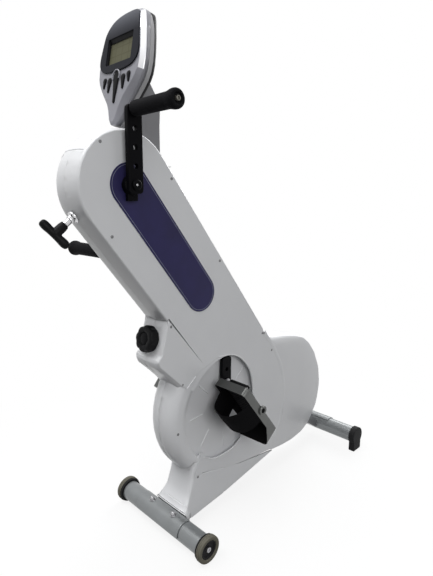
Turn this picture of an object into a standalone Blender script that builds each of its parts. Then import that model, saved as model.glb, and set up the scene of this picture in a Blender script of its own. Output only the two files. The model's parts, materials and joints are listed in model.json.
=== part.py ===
"""Active passive trainer: hand cranks, foot cranks with tray pedals, leaning cabinet, console.

Metres, +Z up. The user stands at -Y, the drive side is +X. Side views are (y, z) pairs that count y
from the front stabilizer's axis and z from the floor; the last step centres the object on y.
"""
import math

import bmesh
import bpy
from mathutils import Matrix, Vector

# Cabinet
GAP = 0.0003
WALL = 0.003
HALF = 0.0445
CROWN = 0.008
LEAN = math.radians(51.65)
ARM_Y = -0.1082
ARM_Z = 0.8627
LEG_Y = 0.1882
LEG_Z = 0.2855
HEAD_R = 0.110
BACK_R = 0.104
SEAM_T = 0.2916
SEAM_END_T = 0.480
SEAM_IN = 0.004
COLLAR_HALF = 0.0363
DRUM_R = 0.200
DRUM_DY = -0.001
DRUM_DZ = 0.0115
DISH_R = 0.146
DISH_X = 0.028
DISH_HOLE_R = 0.026
DISH_SIDES = 40
# Crank drive
AXLE_R = 0.008
BEARING_X = 0.013
BEARING_W = 0.003
CRANK_W = 0.034
ARM_CRANK_T = 0.011
LEG_CRANK_T = 0.010
LEG_CRANK_X = 0.030
ARM_CRANK_X = 0.059
HOLE_PITCH = 0.03575
HOLE_R = 0.0055
ARM_REACH = 0.151
LEG_REACH = 0.142
CRANK_HUB_R = 0.020
LEG_HUB_R = 0.016
GRIP_R = 0.015
GRIP_END_R = 0.0178
GRIP_LENGTH = 0.129
GRIP_BOLT_R = 0.005
LINK_R = 0.030
DRIVE_R = 0.045
MOTOR_PULLEY_R = 0.015
BELT_T = 0.002
BELT_W = 0.008
BELT_X = 0.003
MOTOR_Y = 0.440
MOTOR_R = 0.042
MOTOR_LENGTH = 0.034
# Pedals, whose long side follows the column
PEDAL_IN = 0.050
PEDAL_W = 0.104
PEDAL_L = 0.196
PEDAL_TOP = 0.049
PEDAL_DROP = 0.017
PEDAL_WALL = 0.021
HEEL_OUT = 0.050
HEEL_IN = 0.053
PEDAL_T = 0.0018
PAD_T = 0.0035
STRAP_T = 0.002
STRAP_TOP = -0.008
STRAP_W = 0.064
STRAP_RISE = 0.0765
SPINDLE_R = 0.006
PEDAL_TILT = 0.0
FAR_PEDAL_TILT = math.radians(192)
# Base
TUBE_R = 0.0254
TUBE_T = 0.002
TUBE_HALF = 0.1487
CAP_W = 0.020
WHEEL_R = 0.033
WHEEL_W = 0.0195
REAR_Y = 0.705
REAR_Z = 0.050
CAP_R = 0.030
BEAM_HALF = 0.020
BEAM_H = 0.036
SPINE_HALF = 0.015
SPINE_N = -0.075
SPINE_H = 0.040
SADDLE_HALF = 0.083
REAR_SADDLE_HALF = 0.060
SADDLE_T = 0.003
NUT_X = 0.042
# Console
CON_Y = -0.103
CON_Z = 1.061
CON_TILT = math.radians(11)
CON_FRONT_D = 0.018
CON_D = 0.039
CON_WALL = 0.0025
LCD_HALF = 0.045
LCD_LOW = 0.043
LCD_H = 0.055
BUTTON_OUT = 0.0028
BUTTON_IN = 0.006
BUTTON_TRAVEL = 0.0015
MAST_HALF = 0.015
MAST_FRONT = -0.062
MAST_BACK = -0.004
MAST_LOW = 0.905
# Lock handle and knob
LOCK_T = -0.014
LOCK_R = 0.0045
FLANGE_R = 0.017
FLANGE_T = 0.004
LOCK_BAR_N = 0.170
LOCK_BAR_L = 0.070
LOCK_BAR_R = 0.0082
LOCK_TWIST = math.radians(20)
KNOB_Y = -0.0302
KNOB_Z = 0.5145
KNOB_TILT = math.radians(14.7)
KNOB_R = 0.032
KNOB_DEPTH = 0.023
KNOB_LOBES = 8
KNOB_STEM_R = 0.005
# Half of the distance between the lock handle's front and the rear caps
CENTRE_Y = 0.2303

ARM = Vector((0, ARM_Y, ARM_Z))
LEG = Vector((0, LEG_Y, LEG_Z))
DRUM_C = (LEG_Y + DRUM_DY, LEG_Z + DRUM_DZ)
DOWN = Vector((0, math.cos(LEAN), -math.sin(LEAN)))
FRONT = Vector((0, -math.sin(LEAN), -math.cos(LEAN)))
X_AXIS = Vector((1, 0, 0))
CREST = HEAD_R + CROWN

WHITE = ((0.78, 0.79, 0.81), 0.45, 0.0)
BLACK = ((0.016, 0.016, 0.018), 0.5, 0.0)
SILVER = ((0.50, 0.51, 0.53), 0.35, 0.6)
STEEL = ((0.45, 0.46, 0.48), 0.35, 0.9)
CHROME = ((0.8, 0.8, 0.82), 0.12, 1.0)
TUBE = ((0.30, 0.31, 0.32), 0.4, 0.6)
VIOLET = ((0.028, 0.024, 0.085), 0.4, 0.0)
OLIVE = ((0.11, 0.105, 0.075), 0.6, 0.0)
SCREEN = ((0.14, 0.14, 0.095), 0.25, 0.0)
GREY = ((0.25, 0.26, 0.28), 0.5, 0.0)
BOARD = ((0.02, 0.12, 0.05), 0.5, 0.0)

for old in list(bpy.data.objects):
    bpy.data.objects.remove(old, do_unlink=True)

PARTS = bpy.data.collections.new("active_passive_trainer")
CUTTERS = bpy.data.collections.new("cutters")
CUTTERS.hide_render = True
bpy.context.scene.collection.children.link(PARTS)
bpy.context.scene.collection.children.link(CUTTERS)


def col(t, n):
    """Side-view point at t down the column from the arm axle and n in front of its centre line."""
    point = ARM + DOWN * t + FRONT * n
    return (point.y, point.z)


def lerp(a, b, k):
    return tuple(p + (q - p) * k for p, q in zip(a, b))


def mesh_object(name, verts, faces, edges=()):
    mesh = bpy.data.meshes.new(name)
    mesh.from_pydata([tuple(v) for v in verts], list(edges), faces)
    mesh.update()
    obj = bpy.data.objects.new(name, mesh)
    PARTS.objects.link(obj)
    return obj


def from_bmesh(name, bm):
    mesh = bpy.data.meshes.new(name)
    bm.to_mesh(mesh)
    bm.free()
    obj = bpy.data.objects.new(name, mesh)
    PARTS.objects.link(obj)
    return obj


def facing(direction):
    """Rotation that carries +Z onto the direction."""
    return Vector(direction).to_track_quat("Z", "Y").to_matrix().to_4x4()


def box(low, high, bevel=0.0):
    low = Vector(low)
    high = Vector(high)
    bm = bmesh.new()
    bmesh.ops.create_cube(bm, size=1.0)
    bmesh.ops.scale(bm, vec=high - low, verts=bm.verts)
    bmesh.ops.translate(bm, vec=(low + high) / 2, verts=bm.verts)
    obj = from_bmesh("box", bm)
    if bevel:
        soft = obj.modifiers.new("Bevel", "BEVEL")
        soft.width = bevel
        soft.segments = 2
    return obj


def rod(start, end, radius, sides=20):
    start = Vector(start)
    end = Vector(end)
    bm = bmesh.new()
    turn = Matrix.Translation((start + end) / 2) @ facing(end - start)
    bmesh.ops.create_cone(bm, cap_ends=True, segments=sides, radius1=radius, radius2=radius,
                          depth=(end - start).length, matrix=turn)
    return from_bmesh("rod", bm)


def turned(profile, centre, direction, sides=24):
    """Screw of a profile of (radius, height) pairs; it runs down the outer side, top to bottom."""
    verts = [(radius, 0, height) for radius, height in profile]
    closed = profile[0][0] > 0
    edges = [(i, i + 1) for i in range(len(verts) - 1)]
    if closed:
        edges.append((len(verts) - 1, 0))
    obj = mesh_object("turned", verts, [], edges)
    screw = obj.modifiers.new("Screw", "SCREW")
    screw.steps = sides
    screw.render_steps = sides
    screw.use_merge_vertices = True
    screw.merge_threshold = 0.00001
    screw.use_normal_calculate = False
    obj.matrix_world = Matrix.Translation(Vector(centre)) @ facing(direction)
    return obj


def flat(loops, low, high):
    """A flat outline with holes, in the side view, from x = low to x = high."""
    curve = bpy.data.curves.new("flat", "CURVE")
    curve.dimensions = "2D"
    curve.fill_mode = "BOTH"
    curve.extrude = (high - low) / 2
    for loop in loops:
        spline = curve.splines.new("POLY")
        spline.points.add(len(loop) - 1)
        for point, (y, z) in zip(spline.points, loop):
            point.co = (y, z, 0, 1)
        spline.use_cyclic_u = True
    obj = bpy.data.objects.new("flat", curve)
    PARTS.objects.link(obj)
    turn = Matrix(((0, 0, 1, (low + high) / 2), (1, 0, 0, 0), (0, 1, 0, 0), (0, 0, 0, 1)))
    obj.matrix_world = turn
    return obj


def placed(obj, matrix):
    obj.matrix_world = matrix @ obj.matrix_world
    return obj


def settled(obj):
    """The object's evaluated shape as a plain mesh in world space, with its loose caps welded."""
    bpy.context.view_layer.update()
    graph = bpy.context.evaluated_depsgraph_get()
    mesh = bpy.data.meshes.new_from_object(obj.evaluated_get(graph))
    mesh.transform(obj.matrix_world)
    bm = bmesh.new()
    bm.from_mesh(mesh)
    bmesh.ops.remove_doubles(bm, verts=bm.verts, dist=0.00001)
    bmesh.ops.dissolve_degenerate(bm, edges=bm.edges, dist=0.00001)
    bm.to_mesh(mesh)
    bm.free()
    bpy.data.objects.remove(obj, do_unlink=True)
    out = bpy.data.objects.new("settled", mesh)
    PARTS.objects.link(out)
    return out


def combined(first, second, operation):
    first = settled(first)
    second = settled(second)
    tool = first.modifiers.new("Boolean", "BOOLEAN")
    tool.operation = operation
    tool.solver = "EXACT"
    tool.object = second
    out = settled(first)
    PARTS.objects.unlink(second)
    CUTTERS.objects.link(second)
    second.hide_render = True
    second.display_type = "WIRE"
    return out


def fused(*objects):
    out = objects[0]
    for other in objects[1:]:
        out = combined(out, other, "UNION")
    return out


def cut(obj, *cutters):
    for cutter in cutters:
        obj = combined(obj, cutter, "DIFFERENCE")
    return obj


def node(name, pieces, look, pivot=(0, 0, 0), smooth=True):
    """Joins settled pieces into one named object with its origin on its pivot."""
    bm = bmesh.new()
    for piece in pieces:
        done = settled(piece)
        bm.from_mesh(done.data)
        bpy.data.objects.remove(done, do_unlink=True)
    pivot = Vector(pivot)
    bmesh.ops.translate(bm, vec=-pivot, verts=bm.verts)
    obj = from_bmesh(name, bm)
    obj.name = name
    obj.location = pivot
    obj.data.name = name
    colour, rough, metal = look
    mat = bpy.data.materials.new(name)
    mat.use_nodes = True
    shader = mat.node_tree.nodes["Principled BSDF"]
    shader.inputs["Base Color"].default_value = (*colour, 1)
    shader.inputs["Roughness"].default_value = rough
    shader.inputs["Metallic"].default_value = metal
    obj.data.materials.clear()
    obj.data.materials.append(mat)
    if smooth:
        obj.data.shade_smooth()
        obj.data.set_sharp_from_angle(angle=math.radians(35))
    return obj


def mirrored(name, source, look):
    """The other side's copy of a node that is made for +X."""
    bm = bmesh.new()
    bm.from_mesh(source.data)
    bmesh.ops.translate(bm, vec=source.location, verts=bm.verts)
    bmesh.ops.scale(bm, vec=(-1, 1, 1), verts=bm.verts)
    bmesh.ops.reverse_faces(bm, faces=bm.faces)
    pivot = Vector((-source.location.x, source.location.y, source.location.z))
    return node(name, [from_bmesh(name, bm)], look, pivot)


def turned_about_x(source, angle, centre):
    """Turns a node's geometry about the line through the centre along X."""
    spin = Matrix.Translation(centre) @ Matrix.Rotation(angle, 4, "X") @ Matrix.Translation(-centre)
    source.data.transform(Matrix.Translation(-source.location) @ spin @ Matrix.Translation(source.location))
    return source


def shell(name, verts, faces, wall):
    """An open surface given its wall on the inner side."""
    obj = mesh_object(name, verts, faces)
    thick = obj.modifiers.new("Solidify", "SOLIDIFY")
    thick.thickness = wall
    thick.offset = -1
    thick.use_even_offset = True
    return obj


def circle(centre, radius, count=24, start=0.0):
    step = 2 * math.pi / count
    return [(centre[0] + radius * math.cos(start + i * step), centre[1] + radius * math.sin(start + i * step))
            for i in range(count)]


def tapered_slot(a, b, ra, rb, count=8):
    """Outline round two circles."""
    a = Vector(a)
    b = Vector(b)
    along = (b - a).normalized()
    lean = math.acos((ra - rb) / (b - a).length)
    base = math.atan2(along.y, along.x)
    points = []
    for i in range(count + 1):
        angle = base + lean + (2 * math.pi - 2 * lean) * i / count
        points.append((a.x + ra * math.cos(angle), a.y + ra * math.sin(angle)))
    for i in range(count + 1):
        angle = base - lean + 2 * lean * i / count
        points.append((b.x + rb * math.cos(angle), b.y + rb * math.sin(angle)))
    return points


def rounded(points, radius, count=3):
    """A polygon with its corners rounded by arcs."""
    out = []
    size = len(points)
    for i in range(size):
        here = Vector(points[i])
        before = (Vector(points[i - 1]) - here)
        after = (Vector(points[(i + 1) % size]) - here)
        reach = min(radius, before.length * 0.45, after.length * 0.45)
        start = here + before.normalized() * reach
        end = here + after.normalized() * reach
        for k in range(count + 1):
            w = k / count
            out.append(tuple(start * (1 - w) ** 2 + here * 2 * w * (1 - w) + end * w ** 2))
    return out


# The crowned band that runs round the cabinet's edge: depth below the side face, lift, with the collar's edge
BAND = ((0.0, 0.0), (0.0012, 0.0022), (0.0045, 0.0036), (HALF - COLLAR_HALF, 0.0045),
        (HALF - 0.024, 0.0066), (HALF, 0.008))


def band_levels():
    return [(HALF - depth, lift * CROWN / 0.008) for depth, lift in BAND]


def head_point(angle, lift):
    """Point of the head's arc; 0 is the front line and pi the rear line."""
    radius = HEAD_R * math.cos(angle / 2) ** 2 + BACK_R * math.sin(angle / 2) ** 2 + lift
    point = ARM + FRONT * (radius * math.cos(angle)) - DOWN * (radius * math.sin(angle))
    return (point.y, point.z)


COLLAR_FIRST = math.radians(72)
COLLAR_T = 0.048
HEAD_STEPS = 12


def column_stations():
    """Stations round the column's edge: each gives its point at a lift, and whether the collar covers it."""
    stations = [("line", SEAM_T, 1), ("line", 0.0, 1)]
    first = [COLLAR_FIRST * i / 5 for i in range(1, 6)]
    second = [COLLAR_FIRST + (math.pi - COLLAR_FIRST) * i / 8 for i in range(1, 8)]
    stations += [("head", angle, 1) for angle in first]
    stations += [("head", angle, 1) for angle in second]
    stations += [("line", 0.0, -1), ("line", COLLAR_T, -1), ("line", 0.300, -1), ("line", 0.575, -1)]
    return stations


def station_point(station, lift):
    kind, value, side = station
    if kind == "head":
        return head_point(value, lift)
    if side > 0:
        return col(value, HEAD_R + lift)
    return col(value, -(BACK_R + lift))


# The tail behind the column: ridge on the side face, outer edge and its half width, with the band or open
TAIL = (
    ((0.3375, 0.4665), (0.3410, 0.4740), 0.024, True),
    ((0.3530, 0.4460), (0.3570, 0.4520), 0.026, True),
    ((0.3640, 0.4345), (0.3900, 0.4420), 0.030, True),
    ((0.3800, 0.4150), (0.4550, 0.4300), 0.033, True),
    ((0.3920, 0.3970), (0.5190, 0.4150), 0.033, True),
    ((0.4040, 0.3770), (0.5600, 0.4000), 0.031, True),
    ((0.4160, 0.3560), (0.5970, 0.3740), 0.029, True),
    ((0.4280, 0.3280), (0.6340, 0.3340), 0.027, True),
    ((0.4390, 0.2900), (0.6620, 0.2790), 0.027, True),
    ((0.4420, 0.2500), (0.6740, 0.2210), 0.027, True),
    ((0.4390, 0.2150), (0.6700, 0.1800), 0.027, True),
    ((0.4310, 0.1750), (0.6570, 0.1350), 0.027, True),
    ((0.4230, 0.1520), (0.6410, 0.1140), 0.027, True),
    ((0.4120, 0.1320), (0.6110, 0.0820), 0.028, False),
    ((0.4000, 0.1150), (0.5680, 0.0660), 0.030, False),
    ((0.3910, 0.1000), (0.5070, 0.0620), 0.034, False),
    ((0.3840, 0.0900), (0.4480, 0.0680), 0.039, False),
    ((0.3795, 0.0825), (0.3915, 0.0775), 0.0435, False),
)
SEAM = ((0.2420, 0.0970), (0.1000, 0.1310))
RIDGE_TOP = (0.0815, 0.1735)
RIDGE = (0.0630, 0.1270)
OPENING = ((-118, 0.136), (-100, 0.142), (-76, 0.1445), (-60, 0.1455), (-40, 0.140), (-20, 0.133),
           (0, 0.129), (15, 0.130), (33, 0.1345), (55, 0.138), (74, 0.1405), (95, 0.141))
OPENING_DY = -0.0232
OPENING_DZ = 0.0095


def opening_loop():
    """The side face's round opening in front of the foot crank, from the foot up to the seam."""
    centre = (LEG_Y + OPENING_DY, LEG_Z + OPENING_DZ)
    points = []
    for degrees, radius in OPENING:
        angle = math.radians(degrees)
        points.append((centre[0] + radius * math.cos(angle), centre[1] + radius * math.sin(angle)))
    return points


def other_half():
    """Everything past the centre plane, where the two cover halves meet."""
    return box((-0.05, -0.5, -0.2), (GAP / 2, 1.2, 1.6))


def main_cover():
    levels = band_levels()
    verts = []
    grid = []
    collar = []
    stations = column_stations()
    for index, station in enumerate(stations):
        row = []
        for x, lift in levels:
            point = station_point(station, lift)
            row.append(len(verts))
            verts.append((max(x, GAP / 2), point[0], point[1]))
        grid.append((row, True))
        covered = station[0] == "head" and station[1] >= COLLAR_FIRST - 0.001
        collar.append(covered or (station[0] == "line" and station[2] < 0 and station[1] <= COLLAR_T))
    for ridge, outer, half, band in TAIL:
        away = Vector(outer) - Vector((0.40, 0.24))
        away.normalize()
        inner = lerp(ridge, outer, 0.28)
        middle = lerp(ridge, outer, 0.56)
        last = lerp(ridge, outer, 0.80)
        rim = (outer[0] + away.x * CROWN * 0.75, outer[1] + away.y * CROWN * 0.75)
        depth = HALF - half
        spots = ((HALF, ridge), (HALF - depth * 0.15, inner), (HALF - depth * 0.38, middle),
                 (HALF - depth * 0.62, last), (half, outer), (GAP / 2, rim))
        row = []
        for x, point in spots:
            row.append(len(verts))
            verts.append((x, point[0], point[1]))
        grid.append((row, band))
        collar.append(False)
    faces = []
    for i in range(len(grid) - 1):
        (a, _), (b, open_band) = grid[i], grid[i + 1]
        last = 4 if not open_band else 5
        if collar[i] and collar[i + 1]:
            last = 3
        for k in range(last):
            faces.append((a[k], b[k], b[k + 1], a[k + 1]))
    side = [row[0] for row, _ in grid]
    extra = [SEAM[0], SEAM[1], (RIDGE[0] + 0.0060, RIDGE[1] + 0.0052), (RIDGE_TOP[0] + 0.0065, RIDGE_TOP[1] + 0.0065)]
    extra += opening_loop()
    extra += [col(SEAM_END_T, HEAD_R - SEAM_IN), col(SEAM_T, HEAD_R - SEAM_IN)]
    for point in extra:
        side.append(len(verts))
        verts.append((HALF, point[0], point[1]))
    faces.append(tuple(reversed(side)))
    used = sorted({i for face in faces for i in face})
    index = {old: new for new, old in enumerate(used)}
    verts = [verts[i] for i in used]
    faces = [tuple(index[i] for i in face) for face in faces]
    obj = shell("main_cover", verts, faces, WALL)
    axle = rod((HALF - 0.02, ARM_Y, ARM_Z), (HALF + 0.02, ARM_Y, ARM_Z), AXLE_R + 0.001)
    lock = ARM + DOWN * LOCK_T
    sleeve = rod(lock + FRONT * (CREST - 0.03), lock + FRONT * (CREST + 0.02), LOCK_R + 0.003)
    return cut(obj, axle, sleeve, other_half())


def collar_plate():
    levels = [(x, lift) for x, lift in band_levels() if x < COLLAR_HALF + 0.0001]
    levels[0] = (COLLAR_HALF - 3 * GAP, levels[0][1])
    across = [(x, lift) for x, lift in levels] + [(-x, lift) for x, lift in reversed(levels[:-1])]
    covered = [s for s in column_stations() if (s[0] == "head" and s[1] >= COLLAR_FIRST - 0.001)
               or (s[0] == "line" and s[2] < 0 and s[1] <= COLLAR_T)]
    verts = []
    for number, station in enumerate(covered):
        kind, value, side = station
        if number == 0:
            value += 2.5 * GAP / HEAD_R
        if number == len(covered) - 1:
            value -= 2.5 * GAP
        for x, lift in across:
            point = station_point((kind, value, side), lift)
            verts.append((x, point[0], point[1]))
    size = len(across)
    faces = []
    for i in range(len(covered) - 1):
        for k in range(size - 1):
            faces.append((i * size + k, (i + 1) * size + k, (i + 1) * size + k + 1, i * size + k + 1))
    obj = shell("collar", verts, faces, WALL)
    slot = box((-MAST_HALF - GAP, MAST_FRONT - GAP, MAST_LOW), (MAST_HALF + GAP, MAST_BACK + GAP, MAST_LOW + 0.12))
    return cut(obj, slot)


# The round front cover: depth below the side face and distance inside the drum's outer radius
RIM = ((0.0004, 0.028), (0.0025, 0.021), (0.0065, 0.013), (0.0135, 0.006), (0.0225, 0.002), (0.0335, 0.0005))
DISH = ((0.008, None), (0.008, 0.050), (0.006, 0.056), (0.005, 0.080), (0.003, 0.110))
RIM_FIRST = 15
RIM_LAST = 25
FACE_R = 0.017


def dish_surface():
    """Dish round the crank axle for the whole turn, and the drum's rim where the cover is free."""
    step = 2 * math.pi / DISH_SIDES
    rings = []
    for depth, radius in DISH:
        rings.append((DISH_X - depth, radius or DISH_HOLE_R, (LEG_Y, LEG_Z)))
    rings.append((DISH_X, DISH_R, (LEG_Y, LEG_Z)))
    rings.append((DISH_X + 0.006, DISH_R + 0.001, (LEG_Y, LEG_Z)))
    rings.append((HALF - WALL - 0.001, DISH_R + 0.0025, (LEG_Y, LEG_Z)))
    full = len(rings)
    rings.append((HALF - 0.0009, DISH_R + 0.011, (LEG_Y, LEG_Z)))
    rings.append((HALF - 0.0004, DISH_R + FACE_R, (LEG_Y, LEG_Z)))
    for depth, inset in RIM:
        rings.append((HALF - depth, DRUM_R - inset, DRUM_C))
    rings.append((GAP / 2, DRUM_R, DRUM_C))
    verts = []
    for x, radius, centre in rings:
        for i in range(DISH_SIDES):
            verts.append((x, centre[0] + radius * math.cos(i * step), centre[1] + radius * math.sin(i * step)))
    faces = []
    for k in range(len(rings) - 1):
        span = range(DISH_SIDES) if k < full - 1 else range(RIM_FIRST, RIM_LAST)
        for i in span:
            j = (i + 1) % DISH_SIDES
            a = k * DISH_SIDES
            b = (k + 1) * DISH_SIDES
            faces.append((a + i, b + i, b + j, a + j))
    used = sorted({i for face in faces for i in face})
    index = {old: new for new, old in enumerate(used)}
    return shell("dish", [verts[i] for i in used], [tuple(index[i] for i in face) for face in faces], WALL)


KNOB_AXIS = Vector((0, -math.cos(KNOB_TILT), math.sin(KNOB_TILT)))
KNOB_UP = Vector((0, math.sin(KNOB_TILT), math.cos(KNOB_TILT)))
KNOB_SEAT = Vector((0, KNOB_Y, KNOB_Z))


def neck_surface():
    """The block under the column's front that carries the knob, down to the drum."""
    high = KNOB_SEAT + KNOB_UP * 0.0335 - KNOB_AXIS * (GAP * 1.5)
    low = KNOB_SEAT - KNOB_UP * 0.0335 - KNOB_AXIS * (GAP * 1.5)
    top = col(SEAM_T + 0.0012, HEAD_R - 0.002)
    top_side = col(SEAM_T + 0.0012, HEAD_R - SEAM_IN + WALL + 2 * GAP)
    middle = [top, (high.y, high.z), (low.y, low.z), (low.y - 0.0085, low.z - 0.0070), (-0.0488, 0.4665),
              (-0.0435, 0.4535), (-0.0300, 0.4405), (0.0020, 0.4090)]
    side = [top_side]
    for y, z in middle[1:]:
        side.append((y + 0.0062, z + (0.0030 if z < 0.47 else 0.0)))
    ends = [(0.0147, 0.3958), (0.0150, 0.3955), (0.0163, 0.3942), (0.0210, 0.3890), (0.0275, 0.3920)]
    across = (GAP / 2, 0.012, 0.024, 0.036, HALF)
    verts = []
    rows = []
    for m, s in zip(middle, side):
        row = []
        for x in across[:-1]:
            row.append(len(verts))
            verts.append((x, m[0] + 0.0015 * (x / 0.036) ** 2, m[1]))
        row.append(len(verts))
        verts.append((HALF, s[0], s[1]))
        rows.append(row)
    row = []
    for x, end in zip(across, ends):
        row.append(len(verts))
        verts.append((x, end[0], end[1]))
    rows.append(row)
    faces = []
    for a, b in zip(rows, rows[1:]):
        for k in range(len(across) - 1):
            faces.append((a[k], b[k], b[k + 1], a[k + 1]))
    plate = [row[-1] for row in rows]
    for degrees, radius in ((146.2, 0.1752), (140, 0.171), (134, 0.1685), (128, 0.165), (123, 0.160)):
        angle = math.radians(degrees)
        plate.append(len(verts))
        verts.append((HALF, LEG_Y + radius * math.cos(angle), LEG_Z + radius * math.sin(angle)))
    plate.append(len(verts))
    verts.append((HALF, *col(SEAM_END_T, HEAD_R - SEAM_IN + GAP * 1.5)))
    faces.append(tuple(plate))
    return shell("neck", verts, faces, WALL)


def front_cover():
    obj = fused(dish_surface(), neck_surface())
    stem = rod(KNOB_SEAT - KNOB_AXIS * 0.02, KNOB_SEAT + KNOB_AXIS * 0.02, KNOB_STEM_R + 0.001)
    return cut(obj, stem, other_half())


def foot_cover():
    """Front face of the foot with both its sides and the wedge under the seam."""
    across = (0.0, 0.030, 0.040, HALF)
    rows = (
        ((0.0570, 0.1430), (0.0580, 0.1500), (0.0625, 0.1580), RIDGE_TOP, HALF),
        ((0.0530, 0.1270), (0.0535, 0.1270), (0.0565, 0.1270), RIDGE, HALF),
        ((0.0450, 0.0950), (0.0455, 0.0950), (0.0480, 0.0940), (0.0510, 0.0925), HALF + 0.0012),
        ((0.0370, 0.0800), (0.0375, 0.0800), (0.0395, 0.0790), (0.0435, 0.0775), HALF + 0.0040),
        ((0.0275, 0.0700), (0.0280, 0.0695), (0.0300, 0.0680), (0.0340, 0.0650), HALF + 0.0080),
    )
    verts = []
    grid = []
    for row in rows:
        line = []
        stretch = row[4] / HALF
        for x, (y, z) in zip(across, row[:4]):
            line.append(len(verts))
            verts.append((x * stretch, y, z))
        grid.append(line)
    faces = []
    for a, b in zip(grid, grid[1:]):
        for k in range(3):
            faces.append((a[k], b[k], b[k + 1], a[k + 1]))
    edge = [grid[i][3] for i in range(4, 0, -1)]
    low = [(0.0360, 0.0300), (0.0560, 0.0230), (0.1770, 0.0360), (0.3915, 0.0750)]
    high = [(0.3900, 0.0768), (SEAM[0][0], SEAM[0][1] - 0.0005), (SEAM[1][0], SEAM[1][1] - 0.0005)]
    under = []
    for y, z in low:
        under.append(len(verts))
        wide = HALF + (0.0080 if y < 0.04 else 0.003 if y < 0.06 else 0.0)
        verts.append((wide, y, z))
    over = []
    for y, z in high:
        over.append(len(verts))
        verts.append((HALF, y, z))
    faces.append((edge[0], under[0], under[1], edge[1]))
    faces.append((edge[1], under[1], under[2], edge[2]))
    faces.append((edge[2], under[2], over[2]))
    faces.append((edge[2], over[2], edge[3]))
    faces.append((under[2], under[3], over[0], over[1], over[2]))
    obj = mesh_object("foot", verts, faces)
    both = obj.modifiers.new("Mirror", "MIRROR")
    both.merge_threshold = 0.00001
    thick = obj.modifiers.new("Solidify", "SOLIDIFY")
    thick.thickness = WALL
    thick.offset = -1
    thick.use_even_offset = True
    return obj


BEAM_TOP = ((0.0258, 0.0620), (0.1800, 0.0820), (0.3910, 0.1210), (0.6050, 0.1210), (0.6450, 0.0960),
            (REAR_Y - TUBE_R - 0.0004, 0.0720))


def beam_top(y):
    for (y0, z0), (y1, z1) in zip(BEAM_TOP, BEAM_TOP[1:]):
        if y <= y1:
            return z0 + (z1 - z0) * (y - y0) / (y1 - y0)
    return BEAM_TOP[-1][1]


def crank_bar(centre, reach, low, high, up):
    half = CRANK_W / 2
    outline = rounded([(centre.y - half, centre.z - up * half), (centre.y + half, centre.z - up * half),
                       (centre.y + half, centre.z + up * reach), (centre.y - half, centre.z + up * reach)], 0.009)
    holes = [circle((centre.y, centre.z), AXLE_R + GAP, 16)]
    count = int((reach - HOLE_R) / HOLE_PITCH)
    for i in range(1, count + 1):
        spot = (centre.y, centre.z + up * i * HOLE_PITCH)
        if spot[1] * up < (centre.z + up * (reach - HOLE_R)) * up:
            holes.append(circle(spot, HOLE_R, 10))
    return flat([outline, *holes], low, high)


def belt(a, b, ra, rb, low):
    inner = tapered_slot(a, b, ra + GAP, rb + GAP, 24)
    outer = tapered_slot(a, b, ra + GAP + BELT_T, rb + GAP + BELT_T, 24)
    return flat([outer, inner], low, low + BELT_W)


def yz(vector):
    return (vector.y, vector.z)


# Covers
right = node("main_cover_right", [main_cover()], WHITE)
mirrored("main_cover_left", right, WHITE)
right = node("front_cover_right", [front_cover()], WHITE)
mirrored("front_cover_left", right, WHITE)
node("foot_cover", [foot_cover()], WHITE)
node("mast_collar", [collar_plate()], WHITE)

PANEL_R = 0.0452
PANEL_T = 0.3166
panel = tapered_slot(col(0, 0), col(PANEL_T, 0), PANEL_R, PANEL_R - 0.00001, 12)
panel_x = HALF + GAP
PANEL_THICK = 0.001
plate = flat([panel, circle((ARM_Y, ARM_Z), AXLE_R + 0.001, 16)], panel_x, panel_x + PANEL_THICK)
right = node("side_panel_right", [plate], VIOLET)
mirrored("side_panel_left", right, VIOLET)

# Frame
reach = 0.024
sink = 0.004


def bearing_plates(centre, outline):
    """The two plates of a crank's bracket, each with its bearing bore."""
    plates = []
    for low in (BEARING_X, -BEARING_X - BEARING_W):
        plates.append(flat([outline, circle(yz(centre), AXLE_R + GAP, 20)], low, low + BEARING_W))
    return plates


low_side = [(y, z - BEAM_H) for y, z in reversed(BEAM_TOP)]
low_side[-1] = (BEAM_TOP[0][0], BEAM_TOP[0][1] - BEAM_H + 0.004)
leg_plate = [(LEG_Y - reach, beam_top(LEG_Y - reach) - sink), (LEG_Y + reach, beam_top(LEG_Y + reach) - sink),
             (LEG_Y + reach, LEG_Z + 0.012), (LEG_Y + 0.014, LEG_Z + reach), (LEG_Y - 0.014, LEG_Z + reach),
             (LEG_Y - reach, LEG_Z + 0.012)]
node("base_beam", [fused(flat([list(BEAM_TOP) + low_side], -BEAM_HALF, BEAM_HALF),
                         *bearing_plates(LEG, leg_plate))], STEEL)

spine_top = -reach
floor_z = BEAM_TOP[2][1] + GAP
ends = []
for n in (SPINE_N + SPINE_H / 2, SPINE_N - SPINE_H / 2):
    t = (ARM_Z - n * math.cos(LEAN) - floor_z) / math.sin(LEAN)
    ends.append(col(t, n))
spine = [col(spine_top, SPINE_N - SPINE_H / 2), col(spine_top, SPINE_N + SPINE_H / 2), ends[0], ends[1]]
root_n = SPINE_N + SPINE_H / 2 - sink
arm_plate = [col(-reach, root_n), col(-reach, reach * 0.5), col(-reach * 0.5, reach), col(reach * 0.5, reach),
             col(reach, reach * 0.5), col(reach, root_n)]
node("spine_beam", [fused(flat([spine], -SPINE_HALF, SPINE_HALF), *bearing_plates(ARM, arm_plate))], STEEL)

for name, y, z in (("front_stabilizer", 0.0, WHEEL_R), ("rear_stabilizer", REAR_Y, REAR_Z)):
    inner = TUBE_R - TUBE_T
    pipe = turned([(inner, TUBE_HALF), (TUBE_R, TUBE_HALF), (TUBE_R, -TUBE_HALF), (inner, -TUBE_HALF)],
                  (0, y, z), (1, 0, 0), 24)
    node(name, [pipe], TUBE)


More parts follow.
